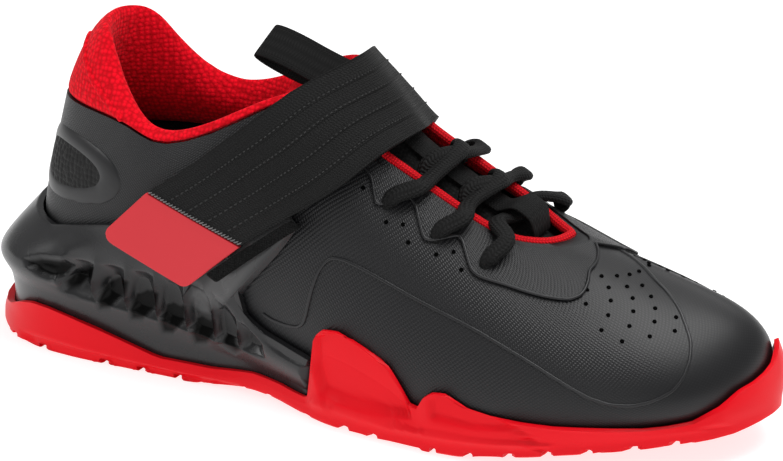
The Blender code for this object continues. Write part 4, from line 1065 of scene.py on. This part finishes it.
# Points of the fold, as shares of its reach and of its opening
LOOP_FOLD = ((-.55, .22), (0, .30), (.28, .42), (.55, .52), (.8, .46), (.95, .26), (1.0, 0), (.95, -.26),
             (.8, -.48), (.55, -.62), (.25, -.62), (0, -.50), (-.55, -.30))


def pull_loop():
    """The folded band, swept along its middle line."""
    ahead = LOOP_BEND - LOOP_ROOT
    reach = np.linalg.norm(ahead)
    ahead /= reach
    wide = np.array(LOOP_TILT) / np.linalg.norm(LOOP_TILT)
    wide -= ahead * np.dot(wide, ahead)
    upward = np.cross(ahead, wide)
    knots = np.array(LOOP_FOLD) * (reach, LOOP_OPEN)
    path = smooth_weights(len(knots), np.linspace(0, len(knots) - 1, 60), False) @ knots
    line = LOOP_ROOT + path[:, :1] * ahead + path[:, 1:] * upward
    heading = np.gradient(line, axis=0)
    return line, np.cross(heading, wide)


loop = sweep([pull_loop()], "tongue_pull_loop_fine", BLACK_WEBBING, LOOP_WIDTH,
             LOOP_THICKNESS, 20, .3)
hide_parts("tongue_pull_loop")

# %% [markdown]
# ## Throat cord
# A red cord edges the throat. It runs along the upper's top line from one side of the strap
# round the front to the other side.

# %% Throat cord
CORD_END = 6.2
CORD_WIDTH = .0036
CORD_RISE = .0016
CORD_INSET = .0010

rims = [rim_frame(column) for column in np.linspace(-CORD_END, CORD_END, 160)]
cord_line = np.array([edge + rise * CORD_RISE - out * CORD_INSET for edge, rise, out in rims])
cord_ups = np.array([rise for _, rise, _ in rims])
sweep([(cord_line, cord_ups)], "throat_cord", CORD_RED, CORD_WIDTH, CORD_WIDTH, 12, 1)

# %% [markdown]
# ## Holes
# Vent holes are punched through the film in front of the throat and beside the lace stay.
# Each is a small dark disc with a soft rim, a few tenths of a millimetre over the cloth; its darkness is
# painted shade for the hole.

# %% Holes
DISC_SIDES = 10


def discs(name, places, radius, lift, material):
    """Small round dents in the upper, as one piece."""
    points, faces = [], []
    for column, row in places:
        out = UPPER_SKIN.out(column, row)[0]
        middle = on_upper(UPPER_SKIN.at(column, row), out[None], 0)[0]
        along = UPPER_SKIN.slopes(column, row)[0][0]
        along /= np.linalg.norm(along)
        upward = np.cross(along, out)
        first = len(points)
        for size, height in ((1, lift * .2), (.8, lift)):
            points += [middle + (along * np.cos(t) + upward * np.sin(t)) * radius * size + out * height
                       for t in circle(DISC_SIDES)]
        points.append(middle + out * lift * .7)
        faces += ring_faces(first, 2, DISC_SIDES)
        inner = first + DISC_SIDES
        faces += [(inner + i, inner + (i + 1) % DISC_SIDES, inner + DISC_SIDES) for i in range(DISC_SIDES)]
    return finish_piece(new_piece(name, points, faces), material, 60)


# The seam of the toe's film, as columns and rows, which the holes keep clear of
SEAM = ((.65, 3.04), (1.25, 2.36), (1.65, 1.7), (2.25, 1.24), (2.55, 1.2), (2.85, 1.34), (3.5, 1.9),
        (4.35, 2.28), (5.5, 2.36), (6.08, 2.22), (6.28, 1.8), (6.38, 1.25), (6.6, .92), (7.05, .86))

SIDE_VENTS = ((5.72, 3.4), (5.32, 3.18), (5.06, 3.3), (4.98, 3.1), (4.58, 3.14), (4.32, 3.3), (4.24, 3.08))
VENT_PITCH = .42
VENT_CLEAR = .18
VENT_RADIUS = .0008
VENT_LIFT = .0004

vents = []
for number, row in enumerate(np.arange(2.35, 3.55, .2)):
    for column in np.arange(-2.3, 2.35, VENT_PITCH) + (number % 2) * VENT_PITCH / 2:
        edge_row = np.interp(abs(column), *np.array(SEAM).T)
        if row > edge_row + VENT_CLEAR and abs(column) > .05:
            vents.append((column, row))
vents += [(side * column, row) for side in (1, -1) for column, row in SIDE_VENTS]
# Painted shade: the dark discs stand in for the shade inside the holes
discs("vent_holes", vents, VENT_RADIUS, VENT_LIFT, HOLE_PAINTED_SHADE)
print(len(vents), "vent holes")

# %% [markdown]
# ## Welted edges
# The lace stay is welded to the upper and its scalloped edge stands up as a fine welt.
# A fold of the red knit crosses the collar's outside at the heel.

# %% Welts
STAY_EDGE = ((0, 3.80), (.15, 3.78), (1.0, 3.62), (1.85, 3.42), (2.5, 3.06), (2.75, 3.00), (3.25, 3.05),
             (3.6, 3.08), (4.0, 3.06), (4.1, 3.12), (4.15, 3.5), (4.22, 3.56), (4.64, 3.28), (4.75, 3.26),
             (4.86, 3.64), (4.95, 3.70), (5.42, 3.34), (5.5, 3.32), (5.62, 3.64), (6.1, 3.70))


def welt(name, side):
    """A fine raised line along the scallops of one side."""
    spots = np.linspace(0, len(STAY_EDGE) - 1, 230)
    columns, rows = [np.interp(spots, range(len(STAY_EDGE)), line) for line in zip(*STAY_EDGE)]
    smooth = np.ones(7) / 7
    columns[3:-3], rows[3:-3] = np.convolve(columns, smooth, "valid"), np.convolve(rows, smooth, "valid")
    outs = UPPER_SKIN.out(side * columns, rows)
    line = on_upper(UPPER_SKIN.at(side * columns, rows + .015), outs, .0009)
    return sweep([(line, outs)], name, SMOOTH_FILM, .0011, .0009, 8, 1)


welt("stay_welt_out", 1)
welt("stay_welt_in", -1)


# How far out the fold is looked for, its columns, and its heights over the top line in metres
FOLD_REACH = .006
FOLD = ((12.25, 11.5, 10.8, 10.15), (.0305, .0215, .0105, .0008))


def collar_fold(name, side):
    """The folded edge between the heel's mesh and the collar's roll."""
    shares = np.linspace(0, 1, 40)
    columns, height = [np.interp(shares, (0, .3, .6, 1), values) for values in FOLD]
    edge = UPPER_SKIN.at(side * columns, np.full(40, TOP_LINE))
    edge += UPPER_SKIN.out(side * columns, np.full(40, TOP_LINE)) * FOLD_REACH
    edge[:, 2] += height
    return sweep([nearest(lining, edge)], name, RED_KNIT, .0026, .0016, 10, 1)


collar_fold("collar_fold_out", 1)
collar_fold("collar_fold_in", -1)

# %% [markdown]
# ## Windows at the heel
# Inside the ring on the counter the film is open and a coarse black mesh shows.

# %% Windows
WINDOW = (11.25, 2.45)
WINDOW_REACH = (1.12, .52)
WINDOW_RISE = .0013
WINDOW_DROP = .0009
WINDOW_SIDES = 40
WINDOW_RINGS = 8


def window(name, side):
    """A shallow dome of mesh inside the ring at one side."""
    turns = circle(WINDOW_SIDES)
    rings = [(0, 0)] + [(size, turn) for size in np.linspace(0, 1, WINDOW_RINGS + 1)[1:] for turn in turns]
    columns = [side * (WINDOW[0] + WINDOW_REACH[0] * size * np.cos(turn)) for size, turn in rings]
    rows = [WINDOW[1] + WINDOW_REACH[1] * size * np.sin(turn) for size, turn in rings]
    rise = [WINDOW_RISE - WINDOW_DROP * size ** 2 for size, _ in rings]
    points = on_upper(UPPER_SKIN.at(columns, rows), UPPER_SKIN.out(columns, rows), rise)
    faces = [(0, 1 + (i + 1) % WINDOW_SIDES, 1 + i) for i in range(WINDOW_SIDES)]
    faces += ring_faces(1, WINDOW_RINGS, WINDOW_SIDES)
    piece = new_piece(name, points, [face[::side] for face in faces], closed=False)
    return finish_piece(piece, WINDOW_MESH, 60)


window("heel_window_out", 1)
window("heel_window_in", -1)

# %% [markdown]
# ## Stitches
# A stitch is a short thread that sinks in at both ends. One row of grey ones joins the tab
# to the strap, and black ones run along the strap's ridges.

# %% Stitches
def stitches(name, starts, ends, outs, thick, material):
    """One mesh of short threads from starts to ends, which bulge along outs."""
    points, faces = [], []
    for start, end, out in zip(starts, ends, outs):
        along = (end - start) / np.linalg.norm(end - start)
        side = np.cross(along, out)
        faces += ring_faces(len(points), 5, 6)
        for share in (0, .18, .5, .82, 1):
            middle = start + (end - start) * share + out * thick * (2.4 * share * (1 - share) - .15)
            size = thick / 2 * (.5 if share in (0, 1) else 1)
            points += [middle + (side * np.cos(t) + out * np.sin(t)) * size for t in circle(6)]
    return finish_piece(new_piece(name, points, faces), material, 60)


# A point inside the shoe under the strap, and how far off the strap a stitch is looked for
INSTEP = (.085, 0, .05)
STITCH_REACH = .003


def strap_stitches(name, columns, rows, next_columns, next_rows, thick, material):
    """Stitches on the strap between pairs of columns and rows."""
    outs = STRAP_SKIN.out(columns, rows)
    outs *= np.sign(np.einsum("nk,nk->n", outs, STRAP_SKIN.at(columns, rows) - INSTEP))[:, None]
    (starts, ways_out), (ends, _) = [nearest(strap, STRAP_SKIN.at(*spot) + outs * STITCH_REACH)
                                     for spot in ((columns, rows), (next_columns, next_rows))]
    stitches(name, starts, ends, ways_out, thick, material)


joint = np.linspace(.02, .98, 30)
strap_stitches("tab_stitches", np.full(30, -.03), joint, np.full(30, .07), joint + .006, .0006, THREAD_GREY)
ridge = np.linspace(.15, 10.7, 92)
for number, row in enumerate((.2, .4, .6, .8)):
    rows = np.full(92, row)
    strap_stitches("strap_stitches_%d" % number, ridge, rows, ridge + .07, rows, .0005, THREAD_BLACK)
